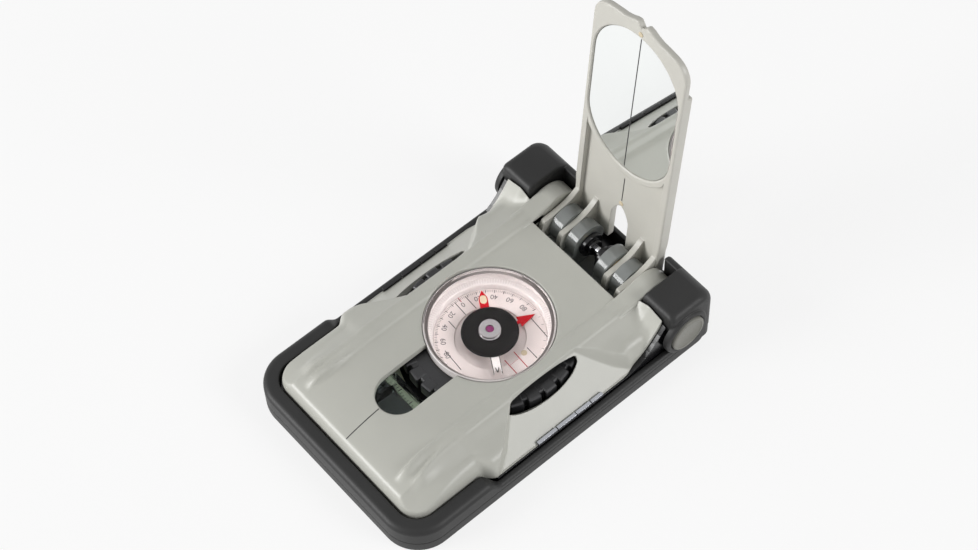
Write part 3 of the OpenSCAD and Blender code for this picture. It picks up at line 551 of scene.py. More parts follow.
def look(name, color, rough, vary=0.06, mottle=6.0, grain=0.3, bump=0.01, metal=0.0, edge_wear_and_highlight=None, edge=0.0,
         specular=0.5, coat=0.0):
    """A finish with a mottled colour, uneven gloss, a fine grain and, with edge, softened edges, lightened
    toward an edge colour that is partly wear and partly painted highlight.
    """
    material, tree, shader = add_material(name)
    clouds = add_range(tree, add_noise(tree, mottle, 5), 0, 1)
    tint = add_mix(tree, clouds, scaled(color, 1 - vary), scaled(color, 1 + vary))
    lumps = add_noise(tree, grain, 2)
    bumper = add_node(tree, "Bump", {"Distance": bump * MM, "Strength": 1, "Height": lumps})
    if edge:
        factor, normal = add_edges(tree, edge)
        feed(tree, bumper, {"Normal": normal})
        # painted highlight: edges and corners are lightened toward the edge colour, partly as wear and
        # partly standing for the sheen that catches them
        if edge_wear_and_highlight:
            tint = add_mix(tree, factor, tint, edge_wear_and_highlight)
    feed(tree, shader, {
        "Base Color": tint, "Metallic": metal, "Specular IOR Level": specular, "Coat Weight": coat,
        "Roughness": add_range(tree, lumps, rough * 0.85, min(1, rough * 1.15)),
        "Normal": bumper.outputs["Normal"],
    })
    return material


def clear(name, color, ior, rough=0.03, through=1.0):
    """A clear plastic that lets light through to what is under it, with faint unevenness."""
    material, tree, shader = add_material(name)
    fog = add_noise(tree, 4, 4)
    dim = scaled(color, 0.97)
    feed(tree, shader, {
        "Transmission Weight": through, "IOR": ior,
        "Base Color": add_mix(tree, add_range(tree, fog, 0, 1), dim, color),
        "Roughness": add_range(tree, fog, rough, rough + 0.02),
    })
    shadows = add_node(tree, "LightPath", {}).outputs["Is Shadow Ray"]
    open_way = add_node(tree, "BsdfTransparent", {"Color": dim})
    mix_shaders(tree, shadows, shader.outputs["BSDF"], open_way.outputs["BSDF"])
    return material


# The lighter edge colours below are partly edge wear and partly painted highlight along the edges.
RUBBER = look("rubber", rgb(40, 40, 40), 0.48, vary=0.1, grain=0.14, bump=0.003,
              edge_wear_and_highlight=rgb(58, 58, 57), edge=0.3, specular=0.32)
GLOSS_BLACK = look("gloss_black", rgb(20, 20, 22), 0.2, vary=0.1, bump=0.001, edge=0.12, specular=0.4)
HOUSING = look("housing_grey", rgb(186, 186, 178), 0.34, vary=0.02, grain=0.12, bump=0.0012,
               edge_wear_and_highlight=rgb(200, 200, 193), edge=0.18)
LID_GREY = look("lid_grey", rgb(194, 192, 184), 0.36, vary=0.02, grain=0.12, bump=0.0012,
                edge_wear_and_highlight=rgb(206, 204, 197), edge=0.15)
CAP_GREY = look("cap_grey", rgb(120, 119, 112), 0.45, vary=0.05, bump=0.004, edge=0.1)
RING_BLACK = look("ring_black", rgb(34, 34, 36), 0.32, vary=0.12, grain=0.12, bump=0.002,
                  edge_wear_and_highlight=rgb(70, 70, 72), edge=0.15)
SILVER = look("silver", rgb(172, 174, 180), 0.28, vary=0.05, bump=0.003, metal=0.85, edge=0.08)
STEEL = look("steel", rgb(185, 186, 190), 0.24, grain=0.12, bump=0.003, metal=1.0, edge=0.06)
BRASS = look("brass", rgb(200, 165, 95), 0.3, vary=0.08, grain=0.12, bump=0.003, metal=1.0, edge=0.06)
CREAM = look("scale_cream", rgb(226, 234, 208), 0.45, vary=0.04, bump=0.003)
PLATE = look("dial_white", rgb(232, 223, 220), 0.4, vary=0.02, bump=0.003)
RIM_PALE = look("rim_pale", rgb(214, 208, 206), 0.3, vary=0.04, bump=0.002)
INK = look("ink", rgb(38, 36, 38), 0.5, vary=0.15, mottle=1.0, bump=0.002)
SOFT_INK = look("soft_ink", rgb(92, 88, 90), 0.5, vary=0.15, mottle=1.0, bump=0.002)
WHITE_INK = look("white_ink", rgb(226, 222, 220), 0.5, vary=0.04, mottle=1.0, bump=0.002)
RED_INK = look("red_ink", rgb(176, 14, 38), 0.45, vary=0.1, mottle=1.0, bump=0.002)
NEEDLE_RED = look("needle_red", rgb(186, 4, 24), 0.5, vary=0.06, bump=0.001, specular=0.25)
NEEDLE_BLACK = look("needle_black", rgb(18, 17, 17), 0.5, vary=0.15, bump=0.0003, specular=0.2)
BOSS_SILVER = look("boss_silver", rgb(186, 184, 186), 0.2, grain=0.1, bump=0.003, metal=1.0, edge=0.05)
JEWEL = look("jewel", rgb(104, 0, 76), 0.12, vary=0.2, mottle=0.6, bump=0.002, coat=0.6)
GLOW = look("luminous", rgb(206, 192, 164), 0.6, vary=0.06, mottle=1.0, bump=0.008)
PAD = look("mirror_pad", rgb(70, 70, 70), 0.8, vary=0.1, bump=0.02)
MIRROR = look("mirror", rgb(250, 252, 251), 0.02, vary=0.01, mottle=20, grain=6, bump=0.0, metal=1.0)
SEAL = look("seal", rgb(204, 199, 197), 0.6, vary=0.1, bump=0.01)
CLEAR = clear("clear_plastic", rgb(168, 172, 170), rough=0.08, ior=1.5, through=0.5)
CAPSULE = clear("capsule_clear", rgb(252, 250, 250), ior=1.1)
LENS = clear("lens_clear", rgb(240, 248, 244), ior=1.15)


# ---- armoured case

def case_walk():
    """Points round the case as (x, y, outward x, outward y)."""
    sides = [-26, -23, -21, -20, -19.5, -19.1, -18.6, -18.1, -17.6, -17.1, -16.7, -16.2, -15, -10, -4, 2, 8,
             14, 19, 21, 22.3, 25]
    right = arc_walk(HALF_W - FRONT_CORNER, CASE_FRONT + FRONT_CORNER, FRONT_CORNER, -90, 0, 14)
    right += [(HALF_W, y, 1.0, 0.0) for y in sides]
    right += arc_walk(HALF_W - BACK_CORNER, CASE_BACK - BACK_CORNER, BACK_CORNER, 0, 90, 14)
    right += [(x, CASE_BACK, 0.0, 1.0) for x in (14.8, 14.6, 10, 5, 0)]
    return right + [(-x, y, -nx, ny) for x, y, nx, ny in reversed(right[:-1])]


def wall_profile(x, y):
    """The wall's cross-section as (inset, height), for a place on the outline."""
    ramp = smooth(y, RAMP_START, RAMP_END)
    behind = 1 if y > CASE_BACK - 0.01 and abs(x) < 14.7 else 0
    top = mix(mix(FRONT_TOP, LOW_TOP, ramp), REAR_TOP, behind)
    thick = mix(mix(FRONT_WALL, LOW_WALL, ramp), REAR_WALL, smooth(y, CASE_BACK - 1, CASE_BACK))
    turn = mix(FRONT_TURN, LOW_TURN, ramp)
    outer = [(2.4, 0), (0.7, 0), (0.3, 0.1), (0.06, 0.34), (0, 0.7), (0, 2.2), (0, GROOVE_LOW),
             (GROOVE_DEPTH, GROOVE_LOW + 0.11), (GROOVE_DEPTH, GROOVE_HIGH - 0.11), (0, GROOVE_HIGH),
             (0, 3.2)]
    crown = [(turn * (1 - cos(a)), top - turn + turn * sin(a))
             for a in (radians(90 * i / 8) for i in range(9))]
    inner = [(thick - 0.3, top), (thick - 0.12, top - 0.05), (thick - 0.03, top - 0.16), (thick, top - 0.35),
             (thick, FLOOR_Z)]
    return outer + crown + inner


def make_case():
    walk = case_walk()
    profiles = [wall_profile(x, y) for x, y, nx, ny in walk]
    rings = []
    for points in zip(*profiles):
        rings.append([(x - nx * inset, y - ny * inset, z)
                      for (x, y, nx, ny), (inset, z) in zip(walk, points)])
    dress(loft("armour_wall", rings), RUBBER, replaces=["armour_tray"])


def lug_back(z):
    """The lug's back at a height."""
    drop = max(0, z - (LUG_TOP - LUG_BACK_R))
    return CASE_BACK - LUG_BACK_R + sqrt(max(0, LUG_BACK_R ** 2 - drop ** 2))


def lug_ring(z):
    """The lug's plan at a height, drawn in near its top and just inside the wall at its foot."""
    sunk = 0.05 if z < LUG_FOOT else 0
    near = clamp((z - (LUG_TOP - LUG_TURN)) / LUG_TURN)
    inset = LUG_TURN * (1 - sqrt(1 - near * near))
    front = LUG_FRONT + inset * 0.9
    back = lug_back(z - 0.15 * near) - sunk
    outer = HALF_W - inset - sunk
    inner = LUG_IN + inset * 0.35
    corner = LUG_CORNER - 0.4 * inset
    points = arc(outer - 1.0, front + 1.0, 1.0, -90, 0, 6)
    points += arc(outer - corner, back - corner, corner, 0, 90, 12)
    points += arc(inner + 0.4, back - 0.4, 0.4, 90, 180, 4)
    points += arc(inner + 0.4, front + 0.4, 0.4, 180, 270, 4)
    return points


def lug_heights():
    top = [LUG_TOP - LUG_TURN + LUG_TURN * sin(radians(90 * i / 9)) for i in range(10)]
    return [1.0, LUG_FOOT - 0.05, LUG_FOOT + 0.05, 6, 8, 9.2, 9.8, 10.4, 11, 11.5, 12, 12.5] + top


def make_lug(name, place):
    body = loft(name, [[place(x, y, z) for x, y in lug_ring(z)] for z in lug_heights()])
    side = [(RETURN_Y, FLOOR_Z), (CASE_BACK - 0.02, FLOOR_Z)]
    side += [(lug_back(z), z) for z in (9.8, 10.6, 11.3, 12, 12.6, 13.1)] + [(RETURN_Y, 13.3)]
    wing = prism("wing", side, RETURN_IN, LUG_IN + 1, joined(place, across))
    profile = [(0.12, -0.7), (0.12, 0.35), (0.25, 0.5), (0.5, 0.56), (0.8, 0.52), (1.02, 0.36), (1.1, 0.1),
               (1.12, -0.7)]
    ring = lathe("ring", [(CAP_R + r, HALF_W + x) for r, x in profile], joined(place, round_hinge),
                 closed=True)
    gather(body, [soften(wing, 0.35, 3), ring])
    dress(body, RUBBER, replaces=["armour_tray"], sharp=40)


def make_cap(name, place):
    profile = [(CAP_R, 0.78), (0.72, 0.78), (0.62, 0.84), (0.5, 0.95), (0.3, 0.95), (0.1, 0.87), (0, 0.72),
               (0, -0.6), (CAP_R, -0.6)]
    cap = lathe("cap_" + name, [(CAP_R - r, HALF_W + x) for r, x in profile], joined(place, round_hinge))
    dress(cap, CAP_GREY, replaces=["axle_cap_" + name], sharp=40)


# ---- housing

def deck_at(y):
    return DECK_Z - DECK_BEND * max(0.0, DECK_FLAT_TO - y) ** 3


def plan_half(y):
    """Half width of the housing's plan."""
    half = mix(NARROW_HALF, WIDE_HALF, smooth(y, -19, -16.5)) - 0.75 * smooth(y, 12.5, 16)
    ahead = clamp(NOSE_Y + PLAN_CORNER - y, 0, PLAN_CORNER)
    return half - PLAN_CORNER + sqrt(PLAN_CORNER ** 2 - ahead ** 2)


def inside(a, y):
    """Distance from the edge of the housing's plan."""
    cx = NARROW_HALF - PLAN_CORNER
    cy = NOSE_Y + PLAN_CORNER
    if a > cx and y < cy:
        return PLAN_CORNER - hypot(a - cx, y - cy)
    return min(plan_half(y) - a, y - NOSE_Y)


def edge_roll(d):
    """The rounded edge of the housing, by distance from its plan's edge."""
    if d >= EDGE_REACH:
        return EDGE_LOW + EDGE_RISE + 0.6 * (d - EDGE_REACH)
    return EDGE_LOW + EDGE_RISE * sqrt(max(0, 1 - (1 - max(0, d) / EDGE_REACH) ** 2))


def crests(y):
    """Where the rib's inner crest, groove and outer crest run at a place along the case."""
    front = smooth(-y, 22, 29)
    return 11.6 + 0.35 * smooth(-y, 25, 31), 12.8 + 0.75 * front, 13.6 + 0.85 * front


def rib(a, y):
    """Height of the rib and the flank above the deck's line."""
    inner, groove, outer = crests(y)
    front = smooth(-y, 20, 28)
    fade = 1 - smooth(-y, 29.0, 31.6)
    blade = mix(0.5, 1.0, front) * fade
    dip = mix(0.38, 0.05, front) * mix(0.3, 1, fade)
    bead = mix(0.48, 0.62, smooth(-y, 18, 27)) * (1 - smooth(-y, 27.5, 30.5)) + 0.05
    return through(a, [
        (9.6, 0, 0), (inner - 0.85, 0.06 * fade, 0.2), (inner, blade, 0), (groove, dip, 0), (outer, bead, 0),
        (outer + 0.7, bead - 0.36, -0.45), (16.4, -0.92, -0.44), (18.7, -1.85, -0.42), (21.2, -3.2, -0.6)
    ])


def shoulder_at(a, y):
    """The rise in front of the lug."""
    t = clamp((y - SHOULDER_Y) / (HOUSING_BACK - SHOULDER_Y))
    crown = 12.2 + 0.9 * smooth(a, 14.2, 17.0) - 0.25 * max(0, a - 17)
    return SHOULDER_FOOT + (crown - SHOULDER_FOOT) * t ** 1.9


def scallop_plane(a):
    return max(SCALLOP_LOW, SCALLOP_TOP_Z - (a - SCALLOP_TOP_X) * SCALLOP_FALL)


def full_top(a, y):
    """The housing's upper surface without the scallops."""
    form = soft_min(deck_at(y) + rib(a, y), edge_roll(inside(a, y)), 0.5)
    if y > SHOULDER_Y and a > 13.2:
        lift = smooth(a, 12.6, 14.6)
        form = soft_max(form, mix(SHOULDER_FOOT, shoulder_at(a, y), lift), 1.2)
    return form


def housing_top(a, y):
    """The housing's upper surface."""
    form = full_top(a, y)
    if a <= 13.7:
        return form
    start = along(a, SCALLOP_FRONT)
    foot = along(a, SCALLOP_BACK)
    crest = along(a, SCALLOP_RISE)
    dip = smooth(a, 13.7, 14.05) * smooth(y, start, start + 0.7) * (1 - smooth(y, foot, crest))
    return mix(form, min(form, scallop_plane(a)), dip)


def column_places(y):
    """Places across half the housing, closer together where it bends."""
    inner, groove, outer = crests(y)
    half = plan_half(y)
    places = steps(0, 9.6, 12) + steps(9.6, inner - 0.85, 4) + steps(inner - 0.85, inner, 6)
    places += steps(inner, groove, 6) + steps(groove, outer, 5) + steps(outer, outer + 0.14, 2)
    places += steps(outer + 0.14, outer + 0.5, 5) + steps(outer + 0.5, outer + 0.9, 3)
    limit = max(half, outer + 1.6)
    places += [mix(outer + 0.9, limit, 1 - (1 - i / 26) ** 1.5) for i in range(27)]
    return [min(a, half) for a in places]


def housing_rows():
    """Rows of y by a: straight over the front, then along the scallop's front and back."""
    nose = NOSE_Y + 4.4
    straight = steps(NOSE_Y, nose, 22, 0.8) + steps(nose, -22, 18)
    rows = [lambda a, y=y: y for y in straight]

    def line(points, shift):
        return lambda a: along(a, points) + shift
    stops = [lambda a: -22.0, line(SCALLOP_FRONT, -0.1), line(SCALLOP_FRONT, 0.8), line(SCALLOP_BACK, -0.2),
             line(SCALLOP_RISE, 0.2), lambda a: HOUSING_BACK]
    for low, high, count in zip(stops, stops[1:], (24, 7, 26, 9, 18)):
        rows += [lambda a, low=low, high=high, t=t: mix(low(a), high(a), t) for t in steps(0, 1, count)]
    return rows + [stops[-1]]


def housing_shell():
    """The moulded shell as one closed solid."""
    upper = []
    for row in housing_rows():
        half_line = []
        for index, a in enumerate(column_places(row(SCALLOP_TOP_X))):
            for _ in range(3):
                y = row(a)
                a = column_places(y)[index]
            half_line.append((a, y))
        line = [(-a, y, housing_top(a, y)) for a, y in reversed(half_line[1:])]
        upper.append(line + [(a, y, housing_top(a, y)) for a, y in half_line])
    rows = len(upper)
    columns = len(upper[0])
    verts = [p for line in upper for p in line]
    verts += [(x, y, max(RIM_TOP, z - SHELL_T - 0.25 * smooth(abs(x), 14, 18))) for x, y, z in verts]
    size = rows * columns
    faces = []
    for i in range(rows - 1):
        for j in range(columns - 1):
            a = i * columns + j
            faces.append((a, a + 1, a + columns + 1, a + columns))
            faces.append((size + a, size + a + columns, size + a + columns + 1, size + a + 1))
    rim = list(range(columns))
    rim += [i * columns + columns - 1 for i in range(1, rows)]
    rim += [size - 1 - j for j in range(1, columns)]
    rim += [i * columns for i in range(rows - 2, 0, -1)]
    for a, b in zip(rim, rim[1:] + rim[:1]):
        faces.append((a, b, size + b, size + a))
    return shape("housing", verts, faces)


def opening(name, outline, flare):
    """A cutter whose mouth widens along the housing's surface, from (x, y, outward x, outward y)."""
    rings = [[(x, y, 3.0) for x, y, nx, ny in outline]]
    for out, drop in ((0, flare), (flare * 0.3, flare * 0.3), (flare, 0)):
        rings.append([
            (x + nx * out, y + ny * out, housing_top(abs(x + nx * flare), y + ny * flare) - drop + 0.01)
            for x, y, nx, ny in outline
        ])
    rings.append([(x + nx * flare, y + ny * flare, 20.0) for x, y, nx, ny in outline])
    return loft(name, rings)


def window_walk():
    """The window's outline, as opening() takes it."""
    walk = [(-WINDOW_HALF, y, -1.0, 0.0) for y in (-8, -12, -15, -18)]
    walk += arc_walk(0, WINDOW_HALF - WINDOW_REACH, WINDOW_HALF, 180, 360, 28)
    return walk + [(WINDOW_HALF, y, 1.0, 0.0) for y in (-18, -15, -12, -8)]


def slot_cutter(place):
    """The finger slot's cutter, square to the scallop."""
    slope = atan2(DECK_Z - 0.13 - RIM_TOP, WIDE_HALF - SCALLOP_TOP_X)
    c, s = cos(slope), sin(slope)

    def on_scallop(u, v, w):
        return place(SCALLOP_TOP_X + u * c + w * s, v, SCALLOP_TOP_Z - u * s + w * c)
    half = arc(0, 0, 1, -90, 90, 28)
    outline = [(SLOT_DOWN + SLOT_LOWER * u, SLOT_ALONG + SLOT_REACH * v) for u, v in half]
    outline += [(SLOT_DOWN - SLOT_UPPER * u, SLOT_ALONG + SLOT_REACH * v) for u, v in reversed(half[1:-1])]
    return prism("slot", outline, -4, 0.35, on_scallop)


def housing_boss(place):
    """The rounded boss beside the lid, blended into the end of the rib."""
    side = [(17.2, 9.0), (17.2, 11.4), (19.2, 11.55), (21.0, 11.85)]
    side += [(HINGE_Y + u, HINGE_Z + v) for u, v in arc(0, 0, BOSS_R, 112, -35, 22)]
    side += [(27.5, BASE_TOP + 0.1), (22.2, BASE_TOP + 0.1), (22.2, 9.0)]
    boss = prism("boss", side, RECESS_HALF, 14.5, joined(place, across))
    return soften(boss, 0.4, 3, 40)


def make_housing():
    shell = housing_shell()
    recess = [(-RECESS_HALF, 30), (-RECESS_HALF, RECESS_Y), (RECESS_HALF, RECESS_Y), (RECESS_HALF, 30)]
    room_r, room_top = KNURL_R + 0.4, KNURL_TOP + 0.36
    hole = arc_walk(0, 0, OPENING_R - OPENING_INSET, 0, 360, 160)[:-1]
    cutters = [
        opening("capsule_hole", hole, OPENING_FLARE),
        opening("window_hole", window_walk(), WINDOW_FLARE),
        slot_cutter(flat),
        slot_cutter(mirrored(flat)),
        prism("recess", recess, 0, 30),
        lathe("dial_room", [(0, 0), (room_r, 0), (room_r, room_top), (0, room_top)]),
    ]
    combine(shell, cutters, solver="MANIFOLD")
    gather(shell, [housing_boss(place) for place in SIDES.values()])
    dress(shell, HOUSING, replaces=["top_housing"], sharp=38)


def make_index_line():
    """The printed line in front of the window, bent over the rounded front."""
    rows = []
    for i in range(25):
        y = mix(-32.3, -24.95, i / 24)
        z = housing_top(0, y) + 0.015
        rows.append([(-0.09, y, z), (0.09, y, z), (0.09, y, z - 0.05), (-0.09, y, z - 0.05)])
    dress(loft("index_line", rows), INK)


def make_strip(name, place):
    """Small tabs along the foot of a scallop, silver on the right, with dark gaps between them."""
    middle, high = RIM_TOP + 0.2, RIM_TOP + 0.85
    x0, x1 = WIDE_HALF - 0.35, HALF_W - LOW_WALL - 0.03
    y = TAB_START
    tabs = []
    for length in TAB_LENGTHS:
        outline = [(x0, y), (x1, y), (x1, y + length), (x0, y + length)]
        tabs.append(soften(prism("strip_tab_" + name, outline, middle, high, place), 0.06))
        y += length + TAB_GAP
    outline = [(x0, TAB_START), (x1, TAB_START), (x1, y), (x0, y)]
    bar = prism("strip_bar_" + name, outline, RIM_TOP, middle, place)
    node = "side_strip_" + name
    dress(bar, INK, replaces=[node])
    finish = SILVER if name == "right" else GLOSS_BLACK
    dress(gather(tabs[0], tabs[1:]), finish, replaces=[node])


# ---- hinge

def knuckle_outline():
    foot = BASE_TOP - HINGE_Z
    return arc(0, 0, KNUCKLE_R, 192, -35, 30) + [
        (0.8, foot), (KNUCKLE_FRONT, foot), (KNUCKLE_FRONT, -1.5), (-3.9, -1.3)
    ]


def bored(block, radius, low, high, place, count=128):
    """A block with a round hole along its place's axis."""
    profile = [(0, low), (radius, low), (radius, high), (0, high)]
    return combine(block, [lathe("bore", profile, place, count)])


def make_knuckles():
    blocks = []
    for side in SIDES.values():
        place = joined(side, round_hinge)
        for low, high in KNUCKLE_SPANS:
            block = prism("knuckle", knuckle_outline(), low, high, place)
            blocks.append(soften(bored(block, AXLE_R + 0.3, low - 1, high + 1, place), 0.2, 2))
    front, half = HINGE_Y + KNUCKLE_FRONT, KNUCKLE_SPANS[1][1]
    floor = prism("floor", [(-half, front), (half, front), (half, 26.4), (-half, 26.4)], BASE_TOP, 3.19)
    dress(gather(blocks[0], blocks[1:] + [floor]), CLEAR, replaces=["hinge_knuckles"])


def make_collars():
    bore = AXLE_R + 0.03
    profile = [(bore, 0.65), (1.5, 0.65), (1.6, 0.75), (1.6, 1.5), (2.4, 1.5), (2.5, 1.6), (2.5, 2.35),
               (2.4, 2.45), (bore, 2.45)]
    rings = [lathe("collar", profile, joined(side, round_hinge), 64, closed=True) for side in SIDES.values()]
    dress(gather(rings[0], rings[1:]), GLOSS_BLACK, replaces=["axle_collars"], sharp=40)


# ---- dial and capsule

def make_dial_ring():
    neck, room = CAPSULE_R + 1.4, CAPSULE_R + 0.1
    core = lathe("dial_core", [
        (DIAL_BORE_R, DIAL_LOW), (SCALE_R - 0.1, DIAL_LOW), (SCALE_R, DIAL_LOW + 0.1), (SCALE_R, SCALE_LOW),
        (neck, SCALE_LOW), (neck, KNURL_LOW), (15.3, KNURL_LOW), (15.5, KNURL_LOW + 0.2),
        (15.5, KNURL_TOP - 0.35), (15.3, KNURL_TOP - 0.1), (room, KNURL_TOP - 0.1), (room, SCALE_LOW),
        (DIAL_BORE_R, SCALE_LOW)
    ], closed=True)
    pitch = 360 / KNURL_COUNT
    side = [(14.2, KNURL_LOW), (16.15, KNURL_LOW), (KNURL_R, KNURL_LOW + 0.2), (KNURL_R, KNURL_TOP - 0.45),
            (KNURL_R - 0.12, KNURL_TOP - 0.15), (KNURL_R - 0.4, KNURL_TOP), (14.2, KNURL_TOP)]
    blocks = []
    for k in range(KNURL_COUNT):
        rings = []
        for part in (-1, -0.86, -0.4, 0, 0.4, 0.86, 1):
            c, s = direction(pitch * (k + 0.365 * part))
            sink = 0.12 if abs(part) == 1 else 0
            rings.append([((r - sink) * c, (r - sink) * s, z - sink * (z > 8)) for r, z in side])
        blocks.append(loft("block", rings))
    dress(gather(core, blocks), RING_BLACK, "dial", ["dial_ring"], sharp=28)


def make_scale_ring():
    ring = lathe("scale_ring", [
        (SCALE_IN, SCALE_LOW), (SCALE_R - 0.08, SCALE_LOW), (SCALE_R, SCALE_LOW + 0.1),
        (SCALE_R, SCALE_TOP - 0.12), (SCALE_R - 0.12, SCALE_TOP), (SCALE_IN + 0.1, SCALE_TOP),
        (SCALE_IN, SCALE_TOP - 0.1)
    ], closed=True)
    dress(ring, CREAM, "dial", ["bearing_scale_ring"], sharp=40)
    surface = at_height(SCALE_TOP)
    lines = []
    for degree in range(0, 360, 2):
        length, width = (0.6, 0.1) if degree % 10 else (0.95, 0.15)
        lines.append(spoke(degree, SCALE_R - length, SCALE_R - 0.14, width))
    ticks = flats("scale_ticks", lines, surface)
    numbers = [digits(str(degree), 1.25, joined(surface, turned(degree - 90)), 17.25)
               for degree in range(0, 360, 20)]
    dress(gather(ticks, numbers), INK, "dial")


def make_bowl():
    bowl = lathe("capsule_bowl", [
        (9.5, SCALE_LOW), (CAPSULE_R, SCALE_LOW), (CAPSULE_R, 7.1), (10.3, BOWL_FLOOR), (0, BOWL_FLOOR),
        (0, 3.8), (9.5, 3.8)
    ])
    dress(bowl, CAPSULE, "dial", ["capsule_bowl"], sharp=40)


def on_rim_step(u, v, w):
    return (u, v, RIM_STEP_Z + 0.18 * (hypot(u, v) - 10.3) + w)


def make_rim_marks():
    """Ticks on the pale step and at the plate's edge, and dots under the capsule's clear rim."""
    ticks = [spoke(2.5 * k, 10.35, 11.1, 0.16) for k in range(144)]
    dress(flats("rim_ticks", ticks, on_rim_step), WHITE_INK, "dial")
    marks = [spoke(10 * k + 4, 9.3, 9.75, 0.05) for k in range(36)]
    dress(flats("plate_rim_marks", marks, on_plate), SOFT_INK, "dial")
    dots = [arc(11.17975 * c, 11.17975 * s, 0.12805, 0, 330, 11)
            for c, s in (direction(30 * k + 12) for k in range(12))]
    dress(flats("rim_dots", dots, at_height(GLASS_Z - 0.05)), INK, "dial")


def make_rim():
    """The pale step round the plate, under the capsule's clear rim, with a painted shadow arc on its top."""
    rim = lathe("capsule_rim", [
        (9.96, PLATE_Z - 0.3), (10.02, PLATE_Z), (10.06, 7.5), (10.2, 7.72), (10.4, 7.8), (11.2, 7.95),
        (11.3, 8.1), (11.34, 8.5), (11.36, DECK_Z - 0.12), (11.42, DECK_Z - 0.04), (11.56, DECK_Z - 0.04),
        (11.64, DECK_Z - 0.12), (11.64, 7.2), (10.6, PLATE_Z - 0.3)
    ], closed=True)
    dress(rim, RIM_PALE, "dial", ["capsule_top"], sharp=40)
    # painted shadow: a thin dark arc on the rim's top at the upper left, standing for the shadow in the gap
    # between the capsule and the housing
    edge = arc(0, 0, 11.53, 92, 228, 60) + arc(0, 0, 11.41, 228, 92, 60)
    dress(flats("rim_painted_shadow", [edge], at_height(DECK_Z - 0.05)), INK, "dial")


def make_capsule_top():
    top = lathe("capsule_top", [
        (0, GLASS_Z), (GLASS_R, GLASS_Z), (GLASS_R, DECK_Z - 0.1), (GLASS_R - 0.1, DECK_Z), (0, DECK_Z)
    ])
    dress(top, CAPSULE, "dial", ["capsule_top"], sharp=40)


def make_plate():
    """The pale plate under the needle, with a lower round middle."""
    edge, middle = BOWL_IN - 0.68, PLATE_Z - PLATE_DROP
    plate = lathe("orienting_plate", [
        (0.45, BOWL_FLOOR), (edge, BOWL_FLOOR), (edge, PLATE_Z - 0.05), (edge - 0.05, PLATE_Z),
        (6.45, PLATE_Z), (6.35, PLATE_Z - 0.06), (6.3, middle + 0.05), (6.2, middle), (0.45, middle)
    ], closed=True)
    dress(plate, PLATE, "dial", ["orienting_disc"], sharp=40)


def make_plate_marks():
    """Lines, gate and clinometer scale printed on the plate."""
    lines = [(-9.6, 0.0, -6.4, -0.2), (-9.4, 2.2, -6.1, 2.05), (-7.4, -3.3, -5.4, -3.4),
             (-3.2, -7.7, 1.6, -8.1), (1.8, 7.9, 6.6, 7.5), (5.9, 3.4, 8.7, 3.3)]
    dark = flats("plate_lines", [stroke(*ends, 0.14) for ends in lines], on_plate)
    dress(dark, INK, "dial")
    reds = [(5.0, 1.1, 8.9, 0.85, 0.16), (5.2, -1.2, 8.7, -1.4, 0.16), (6.6, -1.2, 6.6, 1.0, 0.05),
            (-10.0, 1.05, -8.9, 0.98, 0.12)]
    dress(flats("gate_lines", [stroke(*red) for red in reds], on_plate), RED_INK, "dial")
    ticks = []
    for k in range(-45, 46):
        inner, width = (9.35, 0.07) if k % 5 else (9.15, 0.1)
        ticks.append(spoke(CLINOMETER_ZERO + 2 * k, inner, 9.8, width))
    scale = flats("clinometer_ticks", ticks, on_plate)
    numbers = []
    for value in (0, 20, 40, 60, 80):
        for side in ((-1, 1) if value else (1,)):
            turn = turned(CLINOMETER_ZERO + 90 + side * value)
            numbers.append(digits(str(value), 1.35, joined(on_plate, turn), -8.35))
    dress(gather(scale, numbers), SOFT_INK, "dial")
    dot = flats("gate_dot", [arc(6.35, 2.3, 0.55, 0, 345, 23)], on_plate, 0.05)
    dress(dot, GLOW, "dial")


